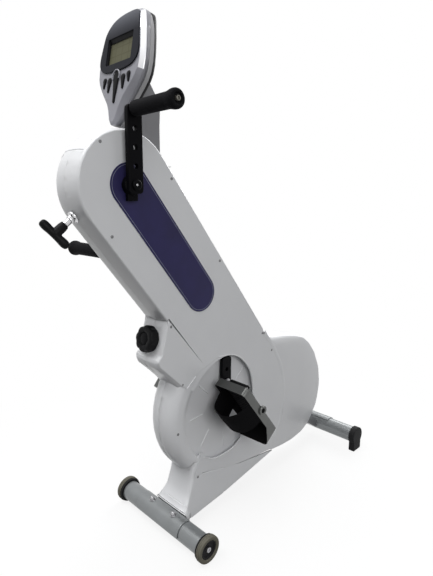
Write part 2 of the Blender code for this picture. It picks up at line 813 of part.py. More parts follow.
def saddle(y, z, half, first, last):
    points = []
    for radius, angles in ((TUBE_R + GAP, (first, last)), (TUBE_R + GAP + SADDLE_T, (last, first))):
        for i in range(13):
            angle = math.radians(angles[0] + (angles[1] - angles[0]) * i / 12)
            points.append((y + radius * math.cos(angle), z + radius * math.sin(angle)))
    return flat([points], -half, half)


node("front_saddle", [saddle(0.0, WHEEL_R, SADDLE_HALF, 190, 62)], STEEL)
node("rear_saddle", [saddle(REAR_Y, REAR_Z, REAR_SADDLE_HALF, 122, 20)], STEEL)
NUT_R = 0.0075
angle = math.radians(100)
out = Vector((0, math.cos(angle), math.sin(angle)))
seat = Vector((0, 0, WHEEL_R)) + out * (TUBE_R + SADDLE_T + 2 * GAP)
nut = [(0, 0.0085), (NUT_R * 0.5, 0.0078), (NUT_R * 0.85, 0.0055), (NUT_R, 0.0035), (NUT_R, 0.0012),
       (NUT_R * 1.35, 0.0012), (NUT_R * 1.35, 0), (0, 0)]
for name, side in (("saddle_nut_right", 1), ("saddle_nut_left", -1)):
    node(name, [turned(nut, seat + X_AXIS * (side * NUT_X), out, 14)], CHROME)

# Wheels on bolts that plug the front tube
PLUG = 0.013
BOLT_R = 0.006
wheel_x = TUBE_HALF + 2 * GAP
inner = TUBE_R - TUBE_T - GAP
head_x = wheel_x + WHEEL_W - 0.001
bolt = [(0, head_x), (0.009, head_x), (0.010, head_x - 0.002), (0.010, head_x - 0.005), (BOLT_R, head_x - 0.005),
        (BOLT_R, TUBE_HALF), (inner, TUBE_HALF), (inner, TUBE_HALF - PLUG), (0, TUBE_HALF - PLUG)]
right = node("wheel_bolt_right", [turned(bolt, (0, 0, WHEEL_R), (1, 0, 0), 20)], STEEL)
mirrored("wheel_bolt_left", right, STEEL)
wheel = [(BOLT_R + GAP, WHEEL_W - 0.0065), (0.015, WHEEL_W - 0.0065), (0.020, WHEEL_W - 0.0065), (0.021, WHEEL_W - 0.001),
         (0.0225, WHEEL_W), (WHEEL_R - 0.003, WHEEL_W), (WHEEL_R - 0.0008, WHEEL_W - 0.0016),
         (WHEEL_R, WHEEL_W - 0.004), (WHEEL_R, 0.004), (WHEEL_R - 0.0008, 0.0016), (WHEEL_R - 0.003, 0),
         (BOLT_R + GAP, 0)]
right = node("transport_wheel_right", [turned(wheel, (wheel_x, 0, WHEEL_R), (1, 0, 0), 24)], OLIVE,
             (wheel_x, 0, WHEEL_R))
mirrored("transport_wheel_left", right, OLIVE)

foot_half = 0.021
arc = [(REAR_Y - foot_half, 0.0), (REAR_Y + foot_half, 0.0), (REAR_Y + foot_half + 0.002, 0.004)]
for i in range(21):
    angle = math.radians(-40 + 260 * i / 20)
    arc.append((REAR_Y + CAP_R * math.cos(angle), REAR_Z + CAP_R * math.sin(angle)))
arc.append((REAR_Y - foot_half - 0.002, 0.004))
cap_x = TUBE_HALF + GAP
cap = fused(flat([arc], cap_x, cap_x + CAP_W),
            rod((TUBE_HALF - PLUG, REAR_Y, REAR_Z), (cap_x + CAP_W * 0.5, REAR_Y, REAR_Z), inner))
right = node("rear_cap_right", [cap], BLACK)
mirrored("rear_cap_left", right, BLACK)

# Leg crank
axle_end = LEG_CRANK_X + LEG_CRANK_T
hub_start = BEARING_X + BEARING_W + GAP * 2


def crank(name, centre, reach, start, thick, hub_low, hub_r, up, lug):
    pieces = [crank_bar(centre, reach, start, start + thick, up)]
    pieces.append(rod((hub_low, centre.y, centre.z), (start + 0.001, centre.y, centre.z), hub_r, 24))
    if lug:
        low = (hub_low + 0.002, centre.y - 0.012, centre.z - up * 0.031)
        high = (start - 0.002, centre.y + 0.012, centre.z)
        pieces.append(box([min(a, b) for a, b in zip(low, high)], [max(a, b) for a, b in zip(low, high)]))
    body = fused(*pieces)
    bore = rod((hub_low - 0.01, centre.y, centre.z), (start + thick + 0.01, centre.y, centre.z), AXLE_R + GAP, 16)
    return node(name, [cut(body, bore)], BLACK, (start, centre.y, centre.z))


crank("leg_crank_right", LEG, LEG_REACH, LEG_CRANK_X, LEG_CRANK_T, hub_start, LEG_HUB_R, 1, False)
down = crank("leg_crank_left", LEG, LEG_REACH, LEG_CRANK_X, LEG_CRANK_T, hub_start, LEG_HUB_R, -1, False)
down.name = "leg_crank_source"
mirrored("leg_crank_left", down, BLACK)
bpy.data.objects.remove(down, do_unlink=True)

arm_end = ARM_CRANK_X + ARM_CRANK_T


def axle(half):
    """A crank axle with its end screws' heads, which keep both cranks on."""
    outer = half + GAP
    profile = [(0, outer + 0.005), (0.0085, outer + 0.0045), (0.0105, outer + 0.003), (0.0105, outer),
               (AXLE_R, outer), (AXLE_R, -outer), (0.0105, -outer), (0.0105, -outer - 0.003),
               (0.0085, -outer - 0.0045), (0, -outer - 0.005)]
    return profile


node("leg_axle", [turned(axle(axle_end), LEG, (1, 0, 0), 20)], CHROME, LEG)
node("arm_axle", [turned(axle(arm_end), ARM, (1, 0, 0), 20)], CHROME, ARM)

# Pulleys and belts
rim = 0.003
wide = BELT_X + BELT_W + GAP
double = [(AXLE_R + GAP, wide + 0.001), (LINK_R + rim, wide + 0.001), (LINK_R + rim, wide), (LINK_R, wide),
          (LINK_R, BELT_X - GAP), (DRIVE_R + rim, BELT_X - GAP), (DRIVE_R + rim, -BELT_X + GAP),
          (DRIVE_R, -BELT_X + GAP), (DRIVE_R, -wide), (DRIVE_R + rim, -wide), (DRIVE_R + rim, -wide - 0.001),
          (AXLE_R + GAP, -wide - 0.001)]
node("leg_pulley", [turned(double, LEG, (1, 0, 0), 24)], STEEL, LEG)
single = [(AXLE_R + GAP, wide + 0.001), (LINK_R + rim, wide + 0.001), (LINK_R + rim, wide), (LINK_R, wide),
          (LINK_R, BELT_X - GAP), (LINK_R + rim, BELT_X - GAP), (LINK_R + rim, BELT_X - GAP - 0.002),
          (AXLE_R + GAP, BELT_X - GAP - 0.002)]
node("arm_pulley", [turned(single, ARM, (1, 0, 0), 24)], STEEL, ARM)
node("link_belt", [belt(yz(LEG), yz(ARM), LINK_R, LINK_R - 0.00001, BELT_X)], BLACK)
motor_z = BEAM_TOP[2][1] + 0.006 + MOTOR_R + 3 * GAP
MOTOR = Vector((0, MOTOR_Y, motor_z))
node("drive_belt", [belt(yz(LEG), yz(MOTOR), DRIVE_R, MOTOR_PULLEY_R, -BELT_X - BELT_W)], BLACK)
shaft_r = 0.005
small = [(0, 0.006), (shaft_r, 0.006), (shaft_r, -BELT_X + GAP), (MOTOR_PULLEY_R, -BELT_X + GAP),
         (MOTOR_PULLEY_R, -wide), (MOTOR_PULLEY_R + rim, -wide), (MOTOR_PULLEY_R + rim, -wide - 0.001), (0, -wide - 0.001)]
node("motor_pulley", [turned(small, MOTOR, (1, 0, 0), 24)], STEEL, MOTOR)
case = [(shaft_r + GAP, MOTOR_LENGTH), (MOTOR_R - 0.003, MOTOR_LENGTH), (MOTOR_R, MOTOR_LENGTH - 0.003),
        (MOTOR_R, 0.003), (MOTOR_R - 0.003, 0), (shaft_r + GAP, 0)]
seat_z = BEAM_TOP[2][1] + GAP
stand = box((0.004, MOTOR_Y - 0.024, seat_z), (0.019, MOTOR_Y + 0.024, motor_z - MOTOR_R * 0.8))
node("drive_motor", [fused(turned(case, MOTOR, (1, 0, 0), 24), stand)], BLACK)

# Arm crank
arm_hub = HALF + GAP + PANEL_THICK + GAP * 2
crank("arm_crank_right", ARM, ARM_REACH, ARM_CRANK_X, ARM_CRANK_T, arm_hub, CRANK_HUB_R, 1, True)
down = crank("arm_crank_source", ARM, ARM_REACH, ARM_CRANK_X, ARM_CRANK_T, arm_hub, CRANK_HUB_R, -1, True)
mirrored("arm_crank_left", down, BLACK)
bpy.data.objects.remove(down, do_unlink=True)

grip_hole = 4
grip_z = grip_hole * HOLE_PITCH
grip_x = arm_end + GAP
tip = GRIP_LENGTH + 0.002
bolt = [(0, tip), (0.0065, tip - 0.0005), (0.008, tip - 0.002), (0.008, tip - 0.006), (GRIP_BOLT_R, tip - 0.006),
        (GRIP_BOLT_R, -ARM_CRANK_T), (0, -ARM_CRANK_T)]
for name, side in (("grip_bolt_right", 1), ("grip_bolt_left", -1)):
    spot = (side * grip_x, ARM_Y, ARM_Z + side * grip_z)
    node(name, [turned(bolt, spot, (side, 0, 0), 12)], STEEL, spot)
bore = GRIP_BOLT_R + GAP
grip = [(bore, GRIP_LENGTH - 0.0045), (0.0095, GRIP_LENGTH - 0.0045), (0.0100, GRIP_LENGTH), (GRIP_END_R - 0.003, GRIP_LENGTH - 0.0005),
        (GRIP_END_R - 0.0006, GRIP_LENGTH - 0.003), (GRIP_END_R, GRIP_LENGTH - 0.008), (GRIP_END_R - 0.0005, GRIP_LENGTH - 0.016),
        (GRIP_R, GRIP_LENGTH - 0.026), (GRIP_R, 0.010), (GRIP_R - 0.0008, 0.002), (GRIP_R - 0.003, 0), (bore, 0)]
spot = Vector((grip_x, ARM_Y, ARM_Z + grip_z))
node("arm_grip_right", [turned(grip, spot, (1, 0, 0), 20)], BLACK, spot)
spot = Vector((-grip_x, ARM_Y, ARM_Z - grip_z))
node("arm_grip_left", [turned(grip, spot, (-1, 0, 0), 20)], BLACK, spot)

# Pedals: s runs along the sole towards the heel, p from the spindle through the sole to the user
pedal_hole = 2
spindle_reach = PEDAL_IN + PEDAL_W - 0.006


def tray_outline(inset):
    low_x = PEDAL_IN + inset
    high_x = PEDAL_IN + PEDAL_W - inset
    low_s = -PEDAL_TOP + inset
    high_s = PEDAL_L - PEDAL_TOP - inset
    return rounded([(low_x, low_s), (high_x, low_s), (high_x, high_s), (low_x, high_s)], 0.012 - inset, 2)


def tray(origin):
    """A sole plate with a low wall round it that rises at the heel."""
    base = tray_outline(PEDAL_T)
    heel = PEDAL_L - PEDAL_TOP
    verts = []
    for x, s in base:
        verts.append(pedal_point(origin, x, s, PEDAL_DROP))
    for x, s in base:
        out = (x - PEDAL_IN) / PEDAL_W
        peak = HEEL_IN + (HEEL_OUT - HEEL_IN) * out
        near = max(0.0, 1 - (heel - s) / 0.045)
        verts.append(pedal_point(origin, x, s, PEDAL_DROP + PEDAL_WALL + (peak - PEDAL_WALL) * near))
    size = len(base)
    faces = [tuple(range(size))]
    for i in range(size):
        j = (i + 1) % size
        faces.append((i, size + i, size + j, j))
    obj = mesh_object("tray", verts, faces)
    thick = obj.modifiers.new("Solidify", "SOLIDIFY")
    thick.thickness = PEDAL_T
    thick.offset = 1
    thick.use_even_offset = True
    return obj


def pedal_point(origin, x, s, p):
    return Vector((x, origin.y, origin.z)) + DOWN * s + FRONT * p


def pedal_box(origin, low, high):
    """A box given by (x, s, p) corners in the pedal's own directions."""
    bm = bmesh.new()
    bmesh.ops.create_cube(bm, size=1.0)
    size = Vector(high) - Vector(low)
    bmesh.ops.scale(bm, vec=size, verts=bm.verts)
    bmesh.ops.translate(bm, vec=(Vector(low) + Vector(high)) / 2, verts=bm.verts)
    turn = Matrix((X_AXIS, DOWN, FRONT)).transposed().to_4x4()
    turn.translation = Vector((0, origin.y, origin.z))
    bmesh.ops.transform(bm, matrix=turn, verts=bm.verts)
    if turn.determinant() < 0:
        bmesh.ops.reverse_faces(bm, faces=bm.faces)
    return from_bmesh("pedal_box", bm)


def pedal(origin):
    inner_x = PEDAL_IN + 0.004
    outer_x = PEDAL_IN + PEDAL_W - 0.012
    barrel = rod((inner_x, origin.y, origin.z), (outer_x, origin.y, origin.z), SPINDLE_R + 0.005, 16)
    web = pedal_box(origin, (inner_x + 0.001, -0.008, 0.004), (outer_x - 0.001, 0.008, PEDAL_DROP - 0.0008))
    body = fused(tray(origin), web, barrel)
    bore = rod((inner_x - 0.02, origin.y, origin.z), (outer_x + 0.001, origin.y, origin.z), SPINDLE_R + GAP, 12)
    return cut(body, bore)


def pad(origin):
    base_p = PEDAL_DROP + GAP
    inset = PEDAL_T + 0.0045
    sheet = pedal_box(origin, (PEDAL_IN + inset, -PEDAL_TOP + inset, base_p),
                      (PEDAL_IN + PEDAL_W - inset, PEDAL_L - PEDAL_TOP - inset, base_p + PAD_T))
    return sheet


# The foot strap's arch: share of the way across the tray and share of its rise over the sole
ARCH = ((0.0, 0.02), (0.0, 0.28), (0.03, 0.55), (0.11, 0.81), (0.26, 0.955), (0.46, 1.0), (0.66, 0.955),
        (0.83, 0.80), (0.95, 0.55), (1.0, 0.28), (1.0, 0.02))


def strap(origin):
    """A webbing band that arches over the foot from one wall of the tray to the other."""
    low_x = PEDAL_IN + PEDAL_T + GAP
    high_x = PEDAL_IN + PEDAL_W - PEDAL_T - GAP
    line = [Vector((low_x + (high_x - low_x) * a, PEDAL_DROP + STRAP_RISE * b)) for a, b in ARCH]
    verts = []
    for i, here in enumerate(line):
        before = line[max(i - 1, 0)]
        after = line[min(i + 1, len(line) - 1)]
        along = (after - before).normalized()
        inner = here + Vector((along.y, -along.x)) * STRAP_T
        for spot in (here, inner):
            for s in (STRAP_TOP, STRAP_TOP + STRAP_W):
                verts.append(pedal_point(origin, spot.x, s, spot.y))
    faces = [(0, 2, 3, 1)]
    last = len(verts) - 4
    for k in range(len(line) - 1):
        a = 4 * k
        b = a + 4
        faces += [(a, a + 1, b + 1, b), (a + 2, b + 2, b + 3, a + 3), (a, b, b + 2, a + 2), (a + 1, a + 3, b + 3, b + 1)]
    faces.append((last, last + 1, last + 3, last + 2))
    obj = mesh_object("strap", verts, faces)
    bm = bmesh.new()
    bm.from_mesh(obj.data)
    bmesh.ops.recalc_face_normals(bm, faces=bm.faces)
    bm.to_mesh(obj.data)
    bm.free()
    return obj


for side in (-1, 1):
    origin = Vector((0, LEG_Y, LEG_Z + side * pedal_hole * HOLE_PITCH))
    right_side = side > 0
    tag = "right" if right_side else "left"
    pivot = Vector((PEDAL_IN, origin.y, origin.z))
    tilt = PEDAL_TILT if right_side else FAR_PEDAL_TILT
    for name, builds, look in (("pedal_tray_", (pedal,), SILVER), ("pedal_pad_", (pad,), BLACK),
                               ("pedal_strap_", (strap,), BLACK)):
        item = node(name + tag + "_x", [build(origin) for build in builds], look, pivot)
        turned_about_x(item, tilt, Vector((PEDAL_IN, origin.y, origin.z)))
        if right_side:
            item.name = name + tag
        else:
            mirrored(name + tag, item, look)
            bpy.data.objects.remove(item, do_unlink=True)
    flange = axle_end + GAP
    pin = [(0, spindle_reach - 0.007), (SPINDLE_R, spindle_reach - 0.007), (SPINDLE_R, flange + 0.004), (0.010, flange + 0.004),
           (0.010, flange), (HOLE_R - GAP, flange), (HOLE_R - GAP, LEG_CRANK_X + 0.001), (0, LEG_CRANK_X + 0.001)]
    node("pedal_spindle_" + tag, [turned(pin, (0, origin.y, origin.z), (side, 0, 0), 12)], STEEL, origin)

# Console, in its own directions: u across, v up the face, w out of it
CON_V = Vector((0, math.sin(CON_TILT), math.cos(CON_TILT)))
CON_W = Vector((0, -math.cos(CON_TILT), math.sin(CON_TILT)))
CON_O = Vector((0, CON_Y, CON_Z))
# The face from its low tip upwards: height, half width, and the chamfer outside it
FACE = ((-0.074, 0.005, 0.005), (-0.067, 0.010, 0.008), (-0.048, 0.017, 0.011), (-0.026, 0.030, 0.012),
        (-0.014, 0.041, 0.012), (0.000, 0.054, 0.011), (0.011, 0.063, 0.010), (0.022, 0.068, 0.0095),
        (0.038, 0.070, 0.009), (0.062, 0.068, 0.009), (0.088, 0.0635, 0.009), (0.099, 0.061, 0.009),
        (0.110, 0.058, 0.0085), (0.129, 0.050, 0.007), (0.140, 0.042, 0.006), (0.147, 0.029, 0.005),
        (0.1505, 0.012, 0.004))
BEND_V = 0.099
BEND = 5.07


def con(u, v, w):
    return CON_O + X_AXIS * u + CON_V * v + CON_W * w


def bend(v):
    """How far the face leans back near its top."""
    return -BEND * max(0.0, v - BEND_V) ** 2


def face_loop(grow, points=FACE):
    """The console's outline as (u, v, lean) triples; each point moves outwards by what grow gives for it."""
    right_side = [(item[1], item[0], grow(item)) for item in points]
    loop = right_side + [(-u, v, out) for u, v, out in reversed(right_side)]
    size = len(loop)
    moved = []
    for i in range(size):
        before = Vector(loop[i - 1][:2])
        after = Vector(loop[(i + 1) % size][:2])
        along = (after - before).normalized()
        u, v, out = loop[i]
        u, v = u + along.y * out, v - along.x * out
        moved.append((u, v, bend(v)))
    return moved


def con_flat(loops, low, high):
    """A flat piece of the console between two heights over its face."""
    curve_obj = flat([[(u, v) for u, v in loop] for loop in loops], low, high)
    turn = Matrix((X_AXIS, CON_V, CON_W)).transposed().to_4x4()
    turn.translation = CON_O
    back = Matrix(((0, 1, 0, 0), (0, 0, 1, 0), (1, 0, 0, 0), (0, 0, 0, 1)))
    return placed(curve_obj, turn @ back)


def con_faces(rings, caps, points=FACE):
    """Points and faces of stacked outlines, front first; a ring is (outward move, height over the face)."""
    verts = []
    for grow, rise in rings:
        for (u, v, lean), item in zip(face_loop(grow, points), [*points, *reversed(points)]):
            verts.append(con(u, v, lean + rise(item)))
    size = 2 * len(points)
    faces = []
    for k in range(len(rings) - 1):
        for i in range(size):
            j = (i + 1) % size
            a, b, c, d = (k * size + i, (k + 1) * size + i, (k + 1) * size + j, k * size + j)
            faces += [(a, b, c), (a, c, d)]
    for k, front in caps:
        for i in range(len(points) - 1):
            quad = (k * size + i, k * size + size - 1 - i, k * size + size - 2 - i, k * size + i + 1)
            faces.append(tuple(reversed(quad)) if front else quad)
    return verts, faces


BUTTONS = (("button_centre", (0, 0.0165), (0, -0.0335), 0.0105, 0.0035),
           ("button_inner_right", (0.0240, 0.0105), (0.0258, -0.0095), 0.0075, 0.0030),
           ("button_inner_left", (-0.0240, 0.0105), (-0.0258, -0.0095), 0.0075, 0.0030),
           ("button_outer_right", (0.0422, 0.0140), (0.0440, 0.0010), 0.0062, 0.0028),
           ("button_outer_left", (-0.0422, 0.0140), (-0.0440, 0.0010), 0.0062, 0.0028))
window = [(-LCD_HALF, LCD_LOW), (LCD_HALF, LCD_LOW), (LCD_HALF, LCD_LOW + LCD_H), (-LCD_HALF, LCD_LOW + LCD_H)]


def grown(points, amount):
    middle = Vector((sum(p[0] for p in points) / len(points), sum(p[1] for p in points) / len(points)))
    out = []
    for point in points:
        shift = Vector(point) - middle
        out.append((point[0] + math.copysign(amount, shift.x), point[1] + math.copysign(amount, shift.y)))
    return out


def level(w):
    return lambda item: w


def outside(inset=0.0):
    return lambda item: item[2] - inset


front_rings = [(level(0.0), level(0.0)), (outside(), lambda item: -0.9 * item[2]), (outside(), level(-CON_FRONT_D))]
front_half = shell("console", *con_faces(front_rings, [(0, True)]), CON_WALL)
holes = [con_flat([grown(window, GAP)], -0.010, 0.010)]
for name, a, b, ra, rb in BUTTONS:
    holes.append(con_flat([tapered_slot(a, b, ra + GAP, rb + GAP)], -0.010, 0.010))
node("console_front", [cut(front_half, *holes)], SILVER)
back_low = -CON_D
back_rings = [(outside(), level(-CON_FRONT_D - GAP)), (outside(0.0005), level(back_low + 0.010)),
              (outside(0.003), level(back_low + 0.004)), (outside(0.009), level(back_low))]
node("console_back", [shell("console", *con_faces(back_rings, [(3, False)]), CON_WALL)], GREY)
bezel_points = ((0.028, 0.030), (0.031, 0.050), (0.038, 0.061), (0.050, 0.0675), *(item[:2] for item in FACE[9:]))
bezel_rings = [(level(-0.001), level(0.0022)), (level(-0.001), level(GAP))]
bezel = mesh_object("bezel", *con_faces(bezel_rings, [(0, True), (1, False)], bezel_points))
node("console_bezel", [cut(bezel, con_flat([grown(window, -0.001)], -0.010, 0.010))], ((0.025, 0.025, 0.032), 0.3, 0.0))
node("display_panel", [con_flat([window], -0.006, 0.0)], SCREEN)
for name, a, b, ra, rb in BUTTONS:
    cap = con_flat([tapered_slot(a, b, ra, rb)], -BUTTON_IN, BUTTON_OUT)
    node(name, [cap], BLACK, con((a[0] + b[0]) / 2, (a[1] + b[1]) / 2, 0))

back_top = con(0, 0.052, back_low - GAP)
back_bottom = con(0, -0.006, back_low - GAP)
peak = col(spine_top, SPINE_N - SPINE_H / 2)
lift = 2 * GAP
mast_foot = [(MAST_FRONT, peak[1] + (MAST_FRONT - peak[0]) / math.tan(LEAN) + lift), (peak[0], peak[1] + lift),
             (MAST_BACK, peak[1] - (MAST_BACK - peak[0]) * math.tan(LEAN) + lift)]
mast = [*mast_foot, (MAST_BACK, 0.990), (MAST_BACK + 0.002, 1.021),
        (MAST_BACK - 0.010, 1.056), (MAST_BACK - 0.026, 1.080), yz(back_top), yz(back_bottom), (MAST_FRONT - 0.006, 1.030),
        (MAST_FRONT, 1.010)]
node("console_mast", [flat([mast], -MAST_HALF, MAST_HALF)], GREY)

# Lock handle on the head's front
base = ARM + DOWN * LOCK_T
start = CREST + GAP
hole = LOCK_R + GAP
flange = [(hole, start + FLANGE_T), (FLANGE_R * 0.62, start + FLANGE_T), (FLANGE_R * 0.9, start + FLANGE_T * 0.6), (FLANGE_R, start),
          (LOCK_R + 0.0027, start), (LOCK_R + 0.0027, start - 0.020), (hole, start - 0.020)]
node("lock_flange", [turned(flange, base, FRONT, 20)], CHROME)
ring_n = start + FLANGE_T + GAP
ring = [(hole, ring_n + 0.007), (0.0075, ring_n + 0.007), (0.0085, ring_n + 0.006), (0.0085, ring_n), (hole, ring_n)]
node("lock_collar", [turned(ring, base, FRONT, 16)], CHROME, base + FRONT * ring_n)
boss_n = ring_n + 0.007 + GAP
across = (DOWN * math.cos(LOCK_TWIST) + X_AXIS * math.sin(LOCK_TWIST)).normalized()
bar_c = base + FRONT * LOCK_BAR_N
half_bar = LOCK_BAR_L / 2
bar_profile = [(0, half_bar), (LOCK_BAR_R * 0.6, half_bar - 0.001), (LOCK_BAR_R, half_bar - 0.005),
               (LOCK_BAR_R * 1.08, half_bar - 0.012), (LOCK_BAR_R * 0.94, 0.010), (LOCK_BAR_R * 0.94, -0.010),
               (LOCK_BAR_R * 1.08, -half_bar + 0.012), (LOCK_BAR_R, -half_bar + 0.005),
               (LOCK_BAR_R * 0.6, -half_bar + 0.001), (0, -half_bar)]
boss = turned([(0, LOCK_BAR_N), (0.0095, LOCK_BAR_N), (0.0105, LOCK_BAR_N - 0.012), (0.0095, boss_n + 0.002),
               (0.0080, boss_n), (LOCK_R, boss_n), (LOCK_R, start - 0.030), (0, start - 0.030)], base, FRONT, 16)
node("lock_grip", [fused(turned(bar_profile, bar_c, across, 16), boss)], BLACK, base + FRONT * boss_n)

# Tension knob on the neck
knob_outline = []
for i in range(KNOB_LOBES * 5):
    angle = 2 * math.pi * i / (KNOB_LOBES * 5)
    radius = KNOB_R - 0.0022 * (0.5 - 0.5 * math.cos(KNOB_LOBES * angle)) ** 1.5
    knob_outline.append((radius * math.cos(angle), radius * math.sin(angle)))


def knob():
    """Lobed disc with a softened front edge."""
    side = KNOB_AXIS.cross(KNOB_UP)
    rings = ((1.0, 0.0), (1.0, KNOB_DEPTH - 0.005), (0.95, KNOB_DEPTH - 0.0015), (0.86, KNOB_DEPTH))
    verts = []
    for scale, height in rings:
        for a, b in knob_outline:
            verts.append(KNOB_SEAT + side * (a * scale) + KNOB_UP * (b * scale) + KNOB_AXIS * height)
    size = len(knob_outline)
    faces = [tuple(range(size)), tuple(reversed(range(3 * size, 4 * size)))]
    for k in range(3):
        for i in range(size):
            j = (i + 1) % size
            faces.append((k * size + i, (k + 1) * size + i, (k + 1) * size + j, k * size + j))
    obj = mesh_object("knob", verts, faces)
    bm = bmesh.new()
    bm.from_mesh(obj.data)
    bmesh.ops.recalc_face_normals(bm, faces=bm.faces)
    bm.to_mesh(obj.data)
    bm.free()
    stem = rod(KNOB_SEAT - KNOB_AXIS * 0.025, KNOB_SEAT + KNOB_AXIS * 0.012, KNOB_STEM_R, 12)
    return fused(obj, stem)


node("tension_knob", [knob()], BLACK, KNOB_SEAT)

for obj in PARTS.objects:
    if obj.parent is None:
        obj.location.y -= CENTRE_Y
bpy.context.view_layer.update()
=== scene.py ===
import json
import math

import bmesh
import bpy
from bpy.props import FloatProperty, FloatVectorProperty, IntProperty, PointerProperty
from mathutils import Matrix, Vector


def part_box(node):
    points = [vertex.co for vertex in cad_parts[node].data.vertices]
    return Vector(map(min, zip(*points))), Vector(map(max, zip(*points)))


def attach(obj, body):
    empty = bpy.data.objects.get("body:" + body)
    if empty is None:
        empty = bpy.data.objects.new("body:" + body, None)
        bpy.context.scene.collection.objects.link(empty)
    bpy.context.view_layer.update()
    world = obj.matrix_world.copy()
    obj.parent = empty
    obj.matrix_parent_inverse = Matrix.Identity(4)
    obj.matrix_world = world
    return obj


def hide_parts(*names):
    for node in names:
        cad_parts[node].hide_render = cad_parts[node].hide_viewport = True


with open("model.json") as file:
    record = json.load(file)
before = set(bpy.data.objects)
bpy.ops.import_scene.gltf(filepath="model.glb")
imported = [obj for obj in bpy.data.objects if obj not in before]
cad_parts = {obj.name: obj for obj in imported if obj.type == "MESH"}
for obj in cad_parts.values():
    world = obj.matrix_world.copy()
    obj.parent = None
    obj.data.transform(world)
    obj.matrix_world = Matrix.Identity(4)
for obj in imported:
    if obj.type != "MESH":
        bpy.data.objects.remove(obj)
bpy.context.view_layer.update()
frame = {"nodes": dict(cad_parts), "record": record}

bl_info = {
    "name": "Active Passive Trainer",
    "version": (1, 0, 0),
    "blender": (4, 5, 0),
    "location": "View3D > Sidebar > Trainer",
    "description": "Dresses a leaning trainer with hand cranks, foot cranks and a console",
    "category": "Object",
}

NODES = frame["nodes"]
JOINTS = {joint["name"]: joint for joint in frame["record"]["behaviour"]["joints"]}
SIDES = (("right", 1), ("left", -1))

# Directions and places of the cabinet; +X is the side with the raised hand crank
LEAN = math.radians(51.65)
DOWN = Vector((0, math.cos(LEAN), -math.sin(LEAN)))
FRONT = Vector((0, -math.sin(LEAN), -math.cos(LEAN)))
ACROSS = Vector((1, 0, 0))
ARM = Vector(JOINTS["arm_crank_turn"]["pos_m"])
LEG = Vector(JOINTS["leg_crank_turn"]["pos_m"])
SIDE_X = 0.0445
TUBE_Y = ARM.y + 0.1082

# The console's own directions: u across, v up its face, w out of it
CON_TILT = math.radians(11)
CON_V = Vector((0, math.sin(CON_TILT), math.cos(CON_TILT)))
CON_W = Vector((0, -math.cos(CON_TILT), math.sin(CON_TILT)))
CON_O = Vector((0, TUBE_Y - 0.103, 1.061))
# The back shell's grey band starts at SIDE_W; above BEND_V the bezel falls back by BEND times the square of the way
SIDE_W = -0.0275
BEND_V = 0.099
BEND = 5.07
WINDOW_HALF, WINDOW_LOW, WINDOW_HIGH = 0.045, 0.043, 0.098

# The pedals' own directions: s along the sole towards the heel, p through the sole to the foot
PEDAL_IN, PEDAL_OUT = 0.050, 0.154
TOE_S, HEEL_S = -0.049, 0.147
SOLE_P = 0.017
FAR_TILT = math.radians(192)

# Finish, body and slot of what is moulded like the covers
COVER = ("cover", "frame", "white_plastic")


def colour_prop(name, text, value):
    return FloatVectorProperty(name=name, description=text, default=value, subtype="COLOR", min=0.0, max=1.0)


def length_prop(name, text, value):
    return FloatProperty(name=name, description=text, default=value, unit="LENGTH", min=0.0)


class CabinetSettings(bpy.types.PropertyGroup):
    """Sizes and colours of the moulded covers and what sits on them."""

    cover_colour: colour_prop("Cover colour", "Colour of the moulded covers", (0.80, 0.805, 0.82))
    panel_colour: colour_prop("Panel colour", "Colour of the bare side panels", (0.024, 0.021, 0.082))
    trim_colour: colour_prop("Trim colour", "Colour of the line round the side panels", (0.22, 0.23, 0.31))
    edge_round: length_prop("Edge rounding", "Radius of the covers' edges", 0.0018)
    screw_size: length_prop("Screw size", "Radius of a cover screw's head", 0.0036)
    rib_count: IntProperty(name="Dish ribs", description="Ribs round the crank dish", default=8, min=3, max=24)
    rib_height: length_prop("Rib height", "How far a dish rib stands up", 0.0019)


class StandSettings(bpy.types.PropertyGroup):
    """Sizes and colours of the stand, the axles and the cranks."""

    tube_colour: colour_prop("Tube colour", "Paint of the cross tubes", (0.25, 0.262, 0.268))
    steel_colour: colour_prop("Steel colour", "Bare steel of bolts and beams", (0.36, 0.36, 0.37))
    chrome_colour: colour_prop("Chrome colour", "Plated parts", (0.56, 0.56, 0.57))
    crank_colour: colour_prop("Crank colour", "Paint of the crank arms", (0.0030, 0.0030, 0.0038))
    tyre_colour: colour_prop("Tyre colour", "Tyre of the transport wheels", (0.125, 0.118, 0.092))
    tube_radius: length_prop("Tube radius", "Radius of both cross tubes", 0.0254)


class TouchSettings(bpy.types.PropertyGroup):
    """Sizes and colours of what the user holds or stands on."""

    foam_colour: colour_prop("Foam colour", "Foam of the hand grips", (0.0075, 0.0075, 0.0085))
    tray_colour: colour_prop("Tray colour", "Metallic shell of the pedals", (0.105, 0.108, 0.105))
    lining_colour: colour_prop("Lining colour", "Inside of the pedals", (0.0045, 0.0045, 0.005))
    webbing_colour: colour_prop("Webbing colour", "Foot straps", (0.0050, 0.0050, 0.0055))
    knob_colour: colour_prop("Knob colour", "Knob and lock handle", (0.0060, 0.0060, 0.0068))
    tread_count: IntProperty(name="Tread bars", description="Bars on a pedal's sole", default=15, min=2, max=40)


class ConsoleSettings(bpy.types.PropertyGroup):
    """Sizes and colours of the console."""

    face_colour: colour_prop("Face colour", "Silver face of the console", (0.29, 0.29, 0.32))
    back_colour: colour_prop("Back colour", "Back shell of the console", (0.010, 0.010, 0.011))
    bezel_colour: colour_prop("Bezel colour", "Dark frame round the screen", (0.013, 0.014, 0.019))
    screen_colour: colour_prop("Screen colour", "Screen when it is off", (0.135, 0.132, 0.085))
    mast_colour: colour_prop("Mast colour", "Mast that carries the console", (0.20, 0.20, 0.21))
    screen_depth: length_prop("Screen depth", "How deep the screen lies", 0.0034)
    button_rise: length_prop("Button rise", "How far a button's crown stands out", 0.0024)


